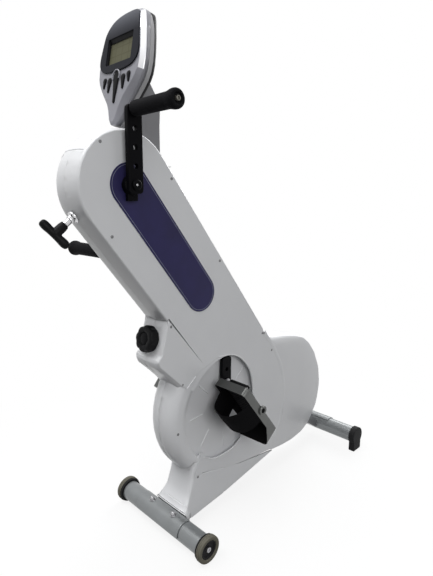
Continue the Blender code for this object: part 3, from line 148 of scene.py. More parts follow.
class StudioSettings(bpy.types.PropertyGroup):
    """Light and floor of the studio."""

    floor_colour: colour_prop("Floor colour", "Pale floor", (0.90, 0.90, 0.90))
    key_power: FloatProperty(name="Key light", description="Large lamp overhead, in front", default=62.0, unit="POWER")
    fill_power: FloatProperty(name="Fill light", description="Lamp on the camera's side", default=26.0, unit="POWER")
    sky_level: FloatProperty(name="Sky level", description="Light from all round", default=0.44, min=0.0)


SETTINGS = {
    "trainer_cabinet": CabinetSettings,
    "trainer_stand": StandSettings,
    "trainer_touch": TouchSettings,
    "trainer_console": ConsoleSettings,
    "trainer_studio": StudioSettings,
}


def mm(*rows, up=0.0):
    """Rows given in millimetres, in metres; up is added to each row's last value."""
    return [(*(value / 1000 for value in row[:-1]), row[-1] / 1000 + up) for row in rows]


def polar(radius, degrees, centre=(0, 0)):
    angle = math.radians(degrees)
    return centre[0] + radius * math.cos(angle), centre[1] + radius * math.sin(angle)


def on_side(t, n):
    """A point of the middle plane, given down the column from the arm axle and in front of its centre line."""
    point = ARM + DOWN * t + FRONT * n
    return Vector((0, point.y, point.z))


def from_tube(y, z, x=0.0):
    """A point given from the front tube's middle on the floor."""
    return Vector((x, TUBE_Y + y, z))


def con(u, v, w):
    return CON_O + ACROSS * u + CON_V * v + CON_W * w


def basis(x_axis, y_axis, z_axis, origin):
    turn = Matrix((x_axis, y_axis, z_axis)).transposed().to_4x4()
    turn.translation = origin
    return turn


def along(axis, origin):
    """A matrix that carries +Z onto the axis."""
    return Matrix.Translation(origin) @ Vector(axis).to_track_quat("Z", "Y").to_matrix().to_4x4()


def side_turn(side):
    """A matrix that lays a flat (y, z) outline on one side, its thickness outwards."""
    return Matrix.Scale(side, 4, ACROSS) @ basis((0, 1, 0), (0, 0, 1), (1, 0, 0), (0, 0, 0))


CON_TURN = basis(ACROSS, CON_V, CON_W, CON_O)


# Shading


def fill_in(tree, made, inputs):
    """Sets a node's inputs: a socket is linked, anything else is the value."""
    for key, value in dict(inputs).items():
        if isinstance(value, bpy.types.NodeSocket):
            tree.links.new(value, made.inputs[key])
        else:
            made.inputs[key].default_value = value
    return made


def node(tree, kind, inputs=(), **settings):
    made = tree.nodes.new(kind)
    for key, value in settings.items():
        setattr(made, key, value)
    return fill_in(tree, made, inputs)


def maths(tree, operation, *values, clamp=False):
    return node(tree, "ShaderNodeMath", enumerate(values), operation=operation, use_clamp=clamp).outputs[0]


def noise(tree, vector, scale, detail=2.0):
    inputs = {"Vector": vector, "Scale": scale, "Detail": detail}
    return node(tree, "ShaderNodeTexNoise", inputs).outputs["Fac"]


def ranged(tree, value, low=0.0, high=1.0, to_low=0.0, to_high=1.0, **settings):
    """A value carried from one range to another and held inside it."""
    inputs = {"Value": value, "From Min": low, "From Max": high, "To Min": to_low, "To Max": to_high}
    return node(tree, "ShaderNodeMapRange", inputs, **settings).outputs["Result"]


def place_in(tree):
    return node(tree, "ShaderNodeTexCoord").outputs["Object"]


def parts_of(tree, vector):
    return node(tree, "ShaderNodeSeparateXYZ", {0: vector}).outputs


def blend_colours(tree, factor, first, second):
    """First and second are colours or sockets; factor is a socket."""
    return node(tree, "ShaderNodeMix", {"Factor": factor, 6: first, 7: second}, data_type="RGBA").outputs[2]


def shade(colour, factor):
    return (*(min(1.0, c * factor) for c in colour), 1.0)


def effect_group(name, build, **numbers):
    """A node group with numbers to set where it's used; build gives its outputs by title."""
    tree = bpy.data.node_groups.new(name, "ShaderNodeTree")
    for title, value in numbers.items():
        tree.interface.new_socket(title, in_out="INPUT", socket_type="NodeSocketFloat").default_value = value
    results = build(tree, tree.nodes.new("NodeGroupInput").outputs)
    for title in results:
        tree.interface.new_socket(title, in_out="OUTPUT", socket_type="NodeSocketFloat")
    node(tree, "NodeGroupOutput", results)
    return tree


def moulded_surface(tree, given):
    """Fine spark texture and slow tone changes of a moulded or painted part."""
    spot = place_in(tree)
    slow = noise(tree, spot, given["Blotch"], 4.0)
    return {"Height": noise(tree, spot, given["Grain"], 3.0), "Tone": ranged(tree, slow, 0.32, 0.68)}


def edge_wear_and_sheen(tree, given):
    """Mask of rubbed edges, broken up by a coarse noise; on the pedal trays it carries a painted highlight along the
    lip.
    """
    soft = node(tree, "ShaderNodeBevel", {"Radius": given["Radius"]}, samples=4).outputs["Normal"]
    true_normal = node(tree, "ShaderNodeNewGeometry").outputs["Normal"]
    match = node(tree, "ShaderNodeVectorMath", {0: soft, 1: true_normal}, operation="DOT_PRODUCT").outputs["Value"]
    strong = maths(tree, "MULTIPLY", maths(tree, "SUBTRACT", 1.0, match), 7.0, clamp=True)
    patchy = maths(tree, "GREATER_THAN", noise(tree, place_in(tree), 160.0, 3.0), 0.47)
    rubbed_and_sheen = maths(tree, "MULTIPLY", strong, patchy)
    return {"Mask": maths(tree, "MULTIPLY", rubbed_and_sheen, given["Amount"], clamp=True)}


def settled_dust(tree, given):
    """Mask of the faint dust that settles on faces that look up."""
    normal = node(tree, "ShaderNodeNewGeometry").outputs["Normal"]
    facing_up = maths(tree, "MULTIPLY", parts_of(tree, normal)["Z"], 1.0, clamp=True)
    broken = maths(tree, "MULTIPLY", facing_up, noise(tree, place_in(tree), 60.0, 5.0))
    return {"Mask": maths(tree, "MULTIPLY", broken, given["Amount"], clamp=True)}


def webbing_weave(tree, given):
    """Crossing threads: height of the yarns and a tone that differs from thread to thread."""
    spot = place_in(tree)
    turned = node(tree, "ShaderNodeVectorRotate", {"Vector": spot, "Angle": given["Turn"]}, rotation_type="X_AXIS")
    lie = parts_of(tree, turned.outputs["Vector"])
    phase = maths(tree, "MULTIPLY", given["Threads"], math.pi)
    warp, weft = (maths(tree, "SINE", maths(tree, "MULTIPLY", lie[axis], phase)) for axis in "XY")
    height = maths(tree, "ADD", maths(tree, "MULTIPLY", maths(tree, "MULTIPLY", warp, weft), 0.5), 0.5)
    return {"Height": height, "Tone": noise(tree, spot, 240.0, 2.0)}


EFFECTS = {
    "surface": effect_group("moulded_surface", moulded_surface, Grain=900.0, Blotch=9.0),
    "wear_and_sheen": effect_group("edge_wear_and_sheen", edge_wear_and_sheen, Radius=0.0012, Amount=0.5),
    "dust": effect_group("settled_dust", settled_dust, Amount=0.2),
    "weave": effect_group("webbing_weave", webbing_weave, Threads=700.0, Turn=0.0),
}
DUST_COLOUR = (0.55, 0.54, 0.52, 1.0)


def effect(tree, key, **values):
    return node(tree, "ShaderNodeGroup", values, node_tree=EFFECTS[key]).outputs


def finish(name, colour, roughness, metallic=0.0, grain=900.0, relief=20, blotch=9.0, tone=0.05, spread=0.05,
           wear_and_sheen=0.0, wear_and_sheen_colour=(0.5, 0.5, 0.5), dust=0.0, pattern=None, shine=0.5, **sockets):
    """A procedural finish with varied tone and roughness, edge wear and dust, where the pale edge wear of the pedal
    trays is a painted highlight; relief is in thousandths of a millimetre.
    """
    mat = bpy.data.materials.new(name)
    mat.use_nodes = True
    tree = mat.node_tree
    surface = effect(tree, "surface", Grain=grain, Blotch=blotch)
    height = surface["Height"]
    colour_out = blend_colours(tree, surface["Tone"], shade(colour, 1 - tone), shade(colour, 1 + tone))
    if pattern:
        colour_out, height = pattern(tree, colour_out, height, colour)
    if dust:
        colour_out = blend_colours(tree, effect(tree, "dust", Amount=dust)["Mask"], colour_out, DUST_COLOUR)
    # Rubbed edges; on the pedal trays their pale colour is a painted highlight.
    if wear_and_sheen:
        colour_out = blend_colours(tree, effect(tree, "wear_and_sheen", Amount=wear_and_sheen)["Mask"], colour_out, (*wear_and_sheen_colour, 1.0))
    rough = ranged(tree, surface["Tone"], to_low=max(0.02, roughness - spread), to_high=min(1.0, roughness + spread))
    bump = node(tree, "ShaderNodeBump", {"Distance": relief / 1e6, "Strength": 1.0, "Height": height})
    fill_in(tree, tree.nodes["Principled BSDF"], {
        "Base Color": colour_out, "Roughness": rough, "Metallic": metallic, "Normal": bump.outputs["Normal"],
        "Specular IOR Level": shine, **{title.replace("_", " "): value for title, value in sockets.items()}})
    return mat


def foam_pores(tree, colour_out, height, colour):
    """Closed cells of a foam grip."""
    cells = node(tree, "ShaderNodeTexVoronoi", {"Scale": 520.0, "Vector": place_in(tree)})
    deep = maths(tree, "MULTIPLY", cells.outputs["Distance"], 1.3, clamp=True)
    return blend_colours(tree, deep, shade(colour, 0.55), shade(colour, 1.5)), deep


def brushed_lines(tree, colour_out, height, colour):
    """Fine lines left by turning or drawing the metal along X."""
    stretch = node(tree, "ShaderNodeMapping", {"Scale": (6.0, 900.0, 900.0), "Vector": place_in(tree)})
    lines = noise(tree, stretch.outputs["Vector"], 1.0, 2.0)
    return blend_colours(tree, lines, colour_out, shade(colour, 1.12)), lines


def webbing(tree, colour_out, height, colour):
    weave = effect(tree, "weave", Threads=620.0, Turn=-LEAN)
    yarn = blend_colours(tree, weave["Height"], shade(colour, 0.7), shade(colour, 1.5))
    return blend_colours(tree, weave["Tone"], yarn, shade(colour, 1.4)), weave["Height"]


def screen_fields(tree, colour_out, height, colour):
    """Faint blocks where an unlit screen keeps its figures."""
    lie = node(tree, "ShaderNodeMapping", {"Rotation": (math.radians(-90), 0, 0), "Vector": place_in(tree)})
    fields = node(tree, "ShaderNodeTexBrick", {
        "Vector": lie.outputs["Vector"], "Scale": 1.0, "Mortar Size": 0.0012, "Mortar Smooth": 0.3,
        "Brick Width": 0.0225, "Row Height": 0.0165}, offset=0.0)
    return blend_colours(tree, fields.outputs["Fac"], colour_out, shade(colour, 0.80)), height


def bezel_painted_sheen(tree, colour_out, height, colour):
    """The bezel is paler towards its top: a painted sheen of the light from above."""
    rise = ranged(tree, parts_of(tree, place_in(tree))["Z"], 1.155, 1.205)
    # This paler colour at the top is painted sheen.
    return blend_colours(tree, rise, colour_out, (0.070, 0.074, 0.092, 1.0)), height


def tyre_rings(tree, colour_out, height, colour):
    """Fine rings left on a moulded tyre."""
    wave = maths(tree, "SINE", maths(tree, "MULTIPLY", parts_of(tree, place_in(tree))["X"], 3600.0))
    mask = maths(tree, "MULTIPLY", maths(tree, "ADD", wave, 1.0), 0.5)
    return blend_colours(tree, mask, colour_out, shade(colour, 1.18)), mask


def make_finishes(scene):
    """Every finish, by name, from the panel's colours."""
    cabinet, stand, touch, console = (getattr(scene, name) for name in list(SETTINGS)[:4])
    return {
        "cover": finish("cover_plastic", cabinet.cover_colour, 0.34, grain=1100.0, relief=12, tone=0.018, spread=0.04,
                        wear_and_sheen=0.10, wear_and_sheen_colour=(0.62, 0.62, 0.62), dust=0.05, Coat_Weight=0.12, Coat_Roughness=0.22),
        "panel": finish("side_film", cabinet.panel_colour, 0.42, grain=700.0, relief=8, tone=0.14, blotch=14.0,
                        shine=0.2),
        "trim": finish("panel_line", cabinet.trim_colour, 0.35, grain=800.0),
        "shadow": finish("screw_recess", (0.24, 0.24, 0.245), 0.5, tone=0.15),
        "tube": finish("silver_tube_paint", stand.tube_colour, 0.34, metallic=0.5, grain=1500.0, relief=12,
                       blotch=18.0, tone=0.06, dust=0.06, shine=0.3),
        "steel": finish("bare_steel", stand.steel_colour, 0.34, metallic=1.0, relief=10, tone=0.08,
                        pattern=brushed_lines),
        "chrome": finish("chrome_plate", stand.chrome_colour, 0.10, metallic=1.0, grain=300.0, relief=3, tone=0.03,
                         spread=0.03),
        "crank": finish("crank_paint", stand.crank_colour, 0.42, grain=1300.0, tone=0.2, wear_and_sheen=0.20,
                        wear_and_sheen_colour=(0.02, 0.02, 0.02), shine=0.04),
        "tyre": finish("tyre_rubber", stand.tyre_colour, 0.62, grain=1000.0, relief=40, tone=0.10, dust=0.08,
                       pattern=tyre_rings, shine=0.2),
        "rubber": finish("black_rubber", (0.011, 0.011, 0.012), 0.62, grain=1200.0, relief=40, tone=0.18, dust=0.03,
                         shine=0.12),
        "foam": finish("grip_foam", touch.foam_colour, 0.75, relief=120, pattern=foam_pores, shine=0.05),
        "knob": finish("knob_plastic", touch.knob_colour, 0.42, grain=1600.0, relief=30, tone=0.2, wear_and_sheen=0.2,
                       wear_and_sheen_colour=(0.02, 0.02, 0.02), shine=0.08),
        # The tray's pale rubbed edges are a painted highlight along its lip.
        "tray": finish("pedal_silver", touch.tray_colour, 0.32, metallic=0.85, grain=1200.0, tone=0.10, wear_and_sheen=0.3,
                       wear_and_sheen_colour=(0.75, 0.75, 0.74)),
        "lining": finish("pedal_lining", touch.lining_colour, 0.6, relief=40, tone=0.2, shine=0.08),
        "webbing": finish("strap_webbing", touch.webbing_colour, 0.8, relief=100, pattern=webbing, shine=0.03),
        "face": finish("console_silver", console.face_colour, 0.42, metallic=0.15, grain=2200.0, relief=12, tone=0.03,
                       shine=0.25),
        # The rim's lighter silver is a painted highlight; the real rim has the same silver paint as the face.
        "rim": finish("console_rim_painted_highlight", (0.78, 0.78, 0.80), 0.30, metallic=0.6, grain=2200.0, relief=8,
                      tone=0.03),
        "dull": finish("dark_steel", (0.14, 0.135, 0.12), 0.45, metallic=0.8, tone=0.1),
        "back": finish("console_grey", console.back_colour, 0.5, grain=1500.0, relief=30, tone=0.15, shine=0.1),
        "side": finish("console_side", (0.40, 0.40, 0.41), 0.42, metallic=0.1, grain=1500.0, relief=30),
        "mast": finish("mast_grey", console.mast_colour, 0.36, metallic=0.2, grain=1400.0, relief=30, tone=0.04),
        "bezel": finish("bezel_satin", console.bezel_colour, 0.48, grain=600.0, relief=4, tone=0.08,
                        pattern=bezel_painted_sheen, shine=0.08),
        # Near-black of the screen surround, partly painted shade of the recess.
        "frame": finish("screen_surround", (0.006, 0.006, 0.007), 0.45, tone=0.2, shine=0.1),
        "screen": finish("screen_off", console.screen_colour, 0.5, grain=500.0, relief=3, blotch=30.0,
                         pattern=screen_fields, shine=0.05),
        "button": finish("button_satin", (0.003, 0.003, 0.004), 0.32, grain=600.0, relief=4, tone=0.15, shine=0.06),
        "casting": finish("motor_casting", (0.045, 0.047, 0.05), 0.5, metallic=0.4, grain=500.0, relief=80, tone=0.2),
    }


FINISHES = {}


# Mesh helpers

# A point this near to a facet's end, or to the plane where two covers meet, lies on it
ON_EDGE = 0.0008
SAME_POINT = 0.00002
# Facets whose normal has more X than this belong to the covers' flat sides
SIDEWAYS = 0.4
RUN_ANGLE = math.radians(32)
LONGER_BY = 2.5
LEAST_BULGE = 0.00006
END_SHARE = 0.06
# Rims that are longer than this and narrower than so many bevel widths stay sharp
LONG_RIM = 0.3
SLIM_BY = 2.3


def linked(name, data):
    obj = bpy.data.objects.new(name, data)
    bpy.context.scene.collection.objects.link(obj)
    return obj


def object_from(bm, name="work"):
    mesh = bpy.data.meshes.new(name)
    bm.to_mesh(mesh)
    bm.free()
    return linked(name, mesh)


def applied(obj):
    """The object's evaluated shape as a plain mesh with its place in it."""
    bpy.context.view_layer.update()
    graph = bpy.context.evaluated_depsgraph_get()
    mesh = bpy.data.meshes.new_from_object(obj.evaluated_get(graph))
    mesh.transform(obj.matrix_world)
    bpy.data.objects.remove(obj, do_unlink=True)
    return mesh


def add_mesh(bm, mesh):
    """Adds a mesh to a bmesh and removes the mesh."""
    bm.from_mesh(mesh)
    bpy.data.meshes.remove(mesh)
    return bm


def add_to(bm, other):
    """Joins another bmesh into the first."""
    mesh = bpy.data.meshes.new("join")
    other.to_mesh(mesh)
    other.free()
    return add_mesh(bm, mesh)


def piece_of(mesh, name, finish_key, body, slot, replaces=(), extra=()):
    """Puts a finished mesh in the scene as a piece that rides on a body."""
    obj = linked(name, mesh)
    mesh.name = name
    for index, key in enumerate((finish_key, *extra)):
        if index < len(mesh.materials):
            mesh.materials[index] = FINISHES[key]
        else:
            mesh.materials.append(FINISHES[key])
    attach(obj, body)
    if replaces:
        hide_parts(*replaces)
    return obj


def weigh_normals(obj, keep_sharp):
    """Lets the large faces decide how the surface is shaded."""
    even = obj.modifiers.new("Weights", "WEIGHTED_NORMAL")
    even.keep_sharp = keep_sharp
    even.weight = 50
    return applied(obj)


def creased(bm, angle):
    """An object with smooth shading up to an angle in degrees."""
    obj = object_from(bm)
    obj.data.shade_smooth()
    obj.data.set_sharp_from_angle(angle=math.radians(angle))
    return obj


def sharp_mesh(bm, angle=30.0):
    return weigh_normals(creased(bm, angle), True)


def run_of(face):
    """The way in which a facet runs round the covers, with its low and high end that way."""
    way = Vector((0, -face.normal.z, face.normal.y)).normalized()
    reach = [vert.co.dot(way) for vert in face.verts]
    return way, min(reach), max(reach)


def end_slope(face, edge, way, length):
    """Slope of the true curve where a flat facet meets the next one of its run, or None."""
    other = next(f for f in edge.link_faces if f is not face)
    if abs(other.normal.x) > SIDEWAYS or face.normal.angle(other.normal) > RUN_ANGLE:
        return None
    _, low, high = run_of(other)
    if length > LONGER_BY * (high - low):
        joint = face.normal
    elif high - low > LONGER_BY * length:
        joint = other.normal
    else:
        joint = (face.normal + other.normal).normalized()
    return -joint.dot(way) / joint.dot(face.normal)


def end_slopes(face, way, low, high):
    slopes = [0.0, 0.0]
    for edge in face.edges:
        spots = [vert.co.dot(way) for vert in edge.verts]
        if len(edge.link_faces) != 2 or abs(spots[0] - spots[1]) > ON_EDGE:
            continue
        for end, mark in enumerate((low, high)):
            if abs(spots[0] - mark) < ON_EDGE:
                slope = end_slope(face, edge, way, high - low)
                if slope is not None:
                    slopes[end] = slope
    return slopes


def curved_runs(bm, cuts=4):
    """Gives the coarse facets that run across the covers the curve that they stand for."""
    bm.normal_update()
    plans = []
    for face in bm.faces:
        if abs(face.normal.x) > SIDEWAYS:
            continue
        way, low, high = run_of(face)
        slopes = end_slopes(face, way, low, high)
        if (abs(slopes[0]) + abs(slopes[1])) * (high - low) / 8 > LEAST_BULGE:
            flat = Vector((0, face.normal.y, face.normal.z)).normalized()
            plans.append((face, flat, way, low, high - low, slopes))
    shifts = {}
    for face, normal, way, low, length, slopes in plans:
        parts = [face]
        for step in range(1, cuts):
            geometry = {*parts, *(e for f in parts for e in f.edges), *(v for f in parts for v in f.verts)}
            cut = bmesh.ops.bisect_plane(bm, geom=list(geometry), dist=SAME_POINT,
                                         plane_co=way * (low + length * step / cuts), plane_no=way)
            parts = [g for g in cut["geom"] if isinstance(g, bmesh.types.BMFace)]
        for vert in (v for part in parts for v in part.verts):
            u = (vert.co.dot(way) - low) / length
            if END_SHARE < u < 1 - END_SHARE:
                rise = slopes[0] * (u ** 3 - 2 * u ** 2 + u) + slopes[1] * (u ** 3 - u ** 2)
                shifts[vert] = normal * rise * length
    for vert, shift in shifts.items():
        vert.co += shift
    return bm


def at_seam(part):
    """True for an edge or a face in the plane where the two halves of a cover meet."""
    return all(abs(vert.co.x) < ON_EDGE for vert in part.verts)


def smoothed(bm, width, angle=30.0, segments=2, skip=None):
    """A mesh whose sharp edges are rounded, except round long slim rims, and whose flat faces stay flat."""
    weights = bm.edges.layers.float.new("bevel_weight_edge")
    slim = {face for face in bm.faces if face.calc_perimeter() > LONG_RIM
            and 2 * face.calc_area() < SLIM_BY * width * face.calc_perimeter()}
    for edge in bm.edges:
        if len(edge.link_faces) == 2 and not at_seam(edge) and not slim.intersection(edge.link_faces) \
                and edge.calc_face_angle(0) > math.radians(angle) and not (skip and skip(edge)):
            edge[weights] = 1.0
    obj = object_from(bm)
    obj.data.shade_smooth()
    soft = obj.modifiers.new("Bevel", "BEVEL")
    soft.width = width
    soft.segments = segments
    soft.limit_method = "WEIGHT"
    soft.use_clamp_overlap = False
    soft.miter_outer = "MITER_ARC"
    return weigh_normals(obj, False)


def welded(name):
    """A joined-up copy of a CAD node's loose triangles, with flat areas made one face."""
    source = NODES[name].data
    bm = bmesh.new()
    verts = [bm.verts.new(v.co) for v in source.vertices]
    for poly in source.polygons:
        bm.faces.new([verts[i] for i in poly.vertices])
    bmesh.ops.remove_doubles(bm, verts=bm.verts, dist=SAME_POINT)
    bmesh.ops.dissolve_degenerate(bm, edges=bm.edges, dist=2.5 * SAME_POINT)
    inner = [edge for edge in bm.edges if not all(at_seam(face) for face in edge.link_faces)]
    bmesh.ops.dissolve_limit(bm, angle_limit=math.radians(0.5), verts=bm.verts, edges=inner)
    return bm


def softened(source, name, look, width, angle=30.0, segments=2, skip=None, extra=(), curved=False):
    """A CAD node as a piece with rounded edges; look is its finish, body and slot."""
    bm = curved_runs(welded(source)) if curved else welded(source)
    return piece_of(smoothed(bm, width, angle, segments, skip), name, *look, (source,), extra)


def loft(bm, rings, wrap=True, caps=(0, -1), looped=False):
    """Joins rings of points by faces, closes those named in caps, and gives the faces of each step.

    A ring may be a single point.
    """
    grid = [[bm.verts.new(point) for point in ring] for ring in rings]
    count = max(map(len, grid))
    steps = []
    for a, b in list(zip(grid, grid[1:])) + ([(grid[-1], grid[0])] if looped else []):
        sweep = [(i, (i + 1) % count) for i in range(count if wrap else count - 1)]
        corners = [(a[i % len(a)], a[j % len(a)], b[j % len(b)], b[i % len(b)]) for i, j in sweep]
        steps.append([bm.faces.new(dict.fromkeys(face)) for face in corners])
    steps.append([bm.faces.new(grid[end]) for end in caps])
    bmesh.ops.recalc_face_normals(bm, faces=bm.faces)
    return steps


def lathe(profile, centre, axis, steps=56, shape=None):
    """A turned solid from (radius, height) pairs; shape may change the radius by angle."""
    turn = along(axis, centre)
    rings = []
    for radius, height in profile:
        angles = [2 * math.pi * i / steps for i in range(steps if radius else 1)]
        radii = [radius * (shape(angle, height) if shape else 1.0) for angle in angles]
        rings.append([turn @ Vector((r * math.cos(a), r * math.sin(a), height)) for r, a in zip(radii, angles)])
    bm = bmesh.new()
    loft(bm, rings, caps=(), looped=profile[0][0] > 0)
    return bm


def both_ways(profile, middle=()):
    """A profile followed by its mirror image."""
    return [*profile, *middle, *((r, -h) for r, h in reversed(profile))]


def turned_piece(profile, centre, axis, name, look, replaces=(), steps=56, angle=32.0, shape=None):
    mesh = applied(creased(lathe(profile, centre, axis, steps, shape), angle))
    return piece_of(mesh, name, *look, replaces)


def filled(loops, low, high, turn, round_edge=0.0):
    """A flat outline with holes, thick from low to high along the turn's Z."""
    curve = bpy.data.curves.new("outline", "CURVE")
    curve.dimensions = "2D"
    curve.fill_mode = "BOTH"
    curve.extrude = (high - low) / 2 - round_edge
    curve.bevel_depth = round_edge
    curve.bevel_resolution = 2
    curve.offset = -round_edge
    for loop in loops:
        spline = curve.splines.new("POLY")
        spline.points.add(len(loop) - 1)
        for point, (a, b) in zip(spline.points, loop):
            point.co = (a, b, 0, 1)
        spline.use_cyclic_u = True
    mesh = applied(linked("outline", curve))
    mesh.transform(turn @ Matrix.Translation((0, 0, (low + high) / 2)))
    bm = add_mesh(bmesh.new(), mesh)
    bmesh.ops.remove_doubles(bm, verts=bm.verts, dist=0.00001)
    bmesh.ops.recalc_face_normals(bm, faces=bm.faces)
    return bm


def smooth_line(points, steps=4):
    """Points of a Catmull-Rom curve through the given ones."""
    size = len(points)
    out = []
    for i in range(size - 1):
        p = [Vector(points[min(max(i + k, 0), size - 1)]) for k in (-1, 0, 1, 2)]
        for t in (k / steps for k in range(steps)):
            out.append(0.5 * ((2 * p[1]) + (p[2] - p[0]) * t + (2 * p[0] - 5 * p[1] + 4 * p[2] - p[3]) * t * t
                              + (3 * p[1] - p[0] - 3 * p[2] + p[3]) * t ** 3))
    return [*out, Vector(points[-1])]


def tube_on(points, radius, closed=False, sides=10, flat_by=1.0, up=ACROSS):
    """A round or flattened bead along a path."""
    size = len(points)
    rings = []
    for i, here in enumerate(points):
        before = points[i - 1] if closed or i else here
        after = points[(i + 1) % size] if closed or i < size - 1 else here
        tangent = (after - before).normalized()
        side = tangent.cross(up).normalized()
        lift = side.cross(tangent).normalized() * flat_by
        angles = [2 * math.pi * k / sides for k in range(sides)]
        rings.append([here + side * (radius * math.cos(a)) + lift * (radius * math.sin(a)) for a in angles])
    bm = bmesh.new()
    loft(bm, rings, caps=() if closed else (0, -1), looped=closed)
    return bm


def slot_outline(a, b, ra, rb, count=24):
    """Outline round two circles in a plane."""
    a, b = Vector(a), Vector(b)
    line = (b - a).normalized()
    lean = math.acos((ra - rb) / (b - a).length)
    base = math.atan2(line.y, line.x)
    points = []
    for centre, radius, start, sweep in ((a, ra, base + lean, 2 * math.pi - 2 * lean), (b, rb, base - lean, 2 * lean)):
        for i in range(count + 1):
            angle = start + sweep * i / count
            points.append((centre.x + radius * math.cos(angle), centre.y + radius * math.sin(angle)))
    return points


def rounded_box(x0, x1, s0, s1, radius, count=8):
    points = []
    for cx, cs, start in ((x1 - radius, s0 + radius, -90), (x1 - radius, s1 - radius, 0),
                          (x0 + radius, s1 - radius, 90), (x0 + radius, s0 + radius, 180)):
        points += [polar(radius, start + 90 * i / count, (cx, cs)) for i in range(count + 1)]
    return points


# Geometry Nodes that repeat a small shape

KINDS = {"Shape": "Object", "Count": "Int", "Start": "Vector", "Step": "Vector", "Size": "Float",
         "Finish": "Material", "Geometry": "Geometry"}


def repeat_tree(name, build, *titles):
    """A tree that copies a shape where build says and gives the copies a finish."""
    tree = bpy.data.node_groups.new(name, "GeometryNodeTree")
    add = tree.interface.new_socket
    names = {title: add(title, in_out="INPUT", socket_type="NodeSocket" + KINDS[title]).identifier
             for title in ("Geometry", "Shape", *titles, "Finish")}
    add("Geometry", in_out="OUTPUT", socket_type="NodeSocketGeometry")
    given = tree.nodes.new("NodeGroupInput").outputs
    shape = node(tree, "GeometryNodeObjectInfo", {"Object": given["Shape"]}).outputs["Geometry"]
    copies = node(tree, "GeometryNodeInstanceOnPoints", {"Instance": shape, **build(tree, given)})
    real = node(tree, "GeometryNodeRealizeInstances", {"Geometry": copies.outputs["Instances"]})
    inputs = {"Geometry": real.outputs["Geometry"], "Material": given["Finish"]}
    paint = node(tree, "GeometryNodeSetMaterial", inputs)
    node(tree, "NodeGroupOutput", {"Geometry": paint.outputs["Geometry"]})
    return tree, names


def stepped(tree, given):
    """Each copy's number times the step."""
    index = node(tree, "GeometryNodeInputIndex").outputs["Index"]
    return node(tree, "ShaderNodeVectorMath", {0: given["Step"], "Scale": index}, operation="SCALE").outputs["Vector"]


def round_about(tree, given):
    points = node(tree, "GeometryNodePoints", {"Count": given["Count"], "Position": given["Start"]})
    return {"Points": points.outputs["Points"], "Rotation": stepped(tree, given)}


def in_row(tree, given):
    moved = node(tree, "ShaderNodeVectorMath", {0: given["Start"], 1: stepped(tree, given)}, operation="ADD")
    points = node(tree, "GeometryNodePoints", {"Count": given["Count"], "Position": moved.outputs["Vector"]})
    return {"Points": points.outputs["Points"]}


def on_points(tree, given):
    """On every point of a mesh, its Z along the point's aim."""
    aim = node(tree, "GeometryNodeInputNamedAttribute", {"Name": "aim"}, data_type="FLOAT_VECTOR")
    turn = node(tree, "FunctionNodeAlignRotationToVector", {"Vector": aim.outputs["Attribute"]}, axis="Z")
    return {"Points": given["Geometry"], "Rotation": turn.outputs["Rotation"], "Scale": given["Size"]}


ROUND_TREE = repeat_tree("repeat_round", round_about, "Count", "Start", "Step")
ROW_TREE = repeat_tree("repeat_in_row", in_row, "Count", "Start", "Step")
SPREAD_TREE = repeat_tree("spread_on_points", on_points, "Size")


def by_nodes(made, base, **values):
    """Runs one of the trees on a base object and gives the resulting mesh; a shape object is used up."""
    tree, names = made
    mod = base.modifiers.new("Repeat", "NODES")
    mod.node_group = tree
    for title, value in values.items():
        mod[names[title]] = value
    mesh = applied(base)
    bpy.data.objects.remove(values["Shape"], do_unlink=True)
    return mesh


def points_object(places=()):
    """A mesh of loose points with the direction in which each one looks."""
    mesh = bpy.data.meshes.new("points")
    mesh.from_pydata([tuple(p) for p, _ in places], [], [])
    aim = mesh.attributes.new("aim", "FLOAT_VECTOR", "POINT")
    for item, (_, direction) in zip(aim.data, places):
        item.vector = direction
    return linked("points", mesh)


def screws(places, size, finish_key):
    """Screws with a dished head and a washer edge, at (point, direction) pairs."""
    head = ((0.0, 0.10), (0.30, 0.12), (0.34, 0.26), (0.62, 0.24), (0.86, 0.14), (0.98, 0.0), (1.0, -0.10),
            (0.0, -0.10))
    shape = creased(lathe(head, (0, 0, 0), (0, 0, 1), 20), 40)
    return by_nodes(SPREAD_TREE, points_object(places), Shape=shape, Size=size, Finish=FINISHES[finish_key])


# Steps of the dressing


class TRAINER_OT_finishes(bpy.types.Operator):
    """Make every finish from the panel's colours"""

    bl_idname = "trainer.finishes"
    bl_label = "Finishes"

    def execute(self, context):
        FINISHES.update(make_finishes(context.scene))
        return {"FINISHED"}


class TRAINER_OT_covers(bpy.types.Operator):
    """Build the moulded covers with their rounded edges"""

    bl_idname = "trainer.covers"
    bl_label = "Covers"

    def execute(self, context):
        width = context.scene.trainer_cabinet.edge_round
        for name in ("main_cover_right", "main_cover_left", "front_cover_right", "front_cover_left"):
            softened(name, name + "_shell", COVER, width, curved=True)
        softened("foot_cover", "foot_cover_shell", COVER, width * 1.6)
        softened("mast_collar", "mast_collar_shell", COVER, width * 0.8)
        return {"FINISHED"}


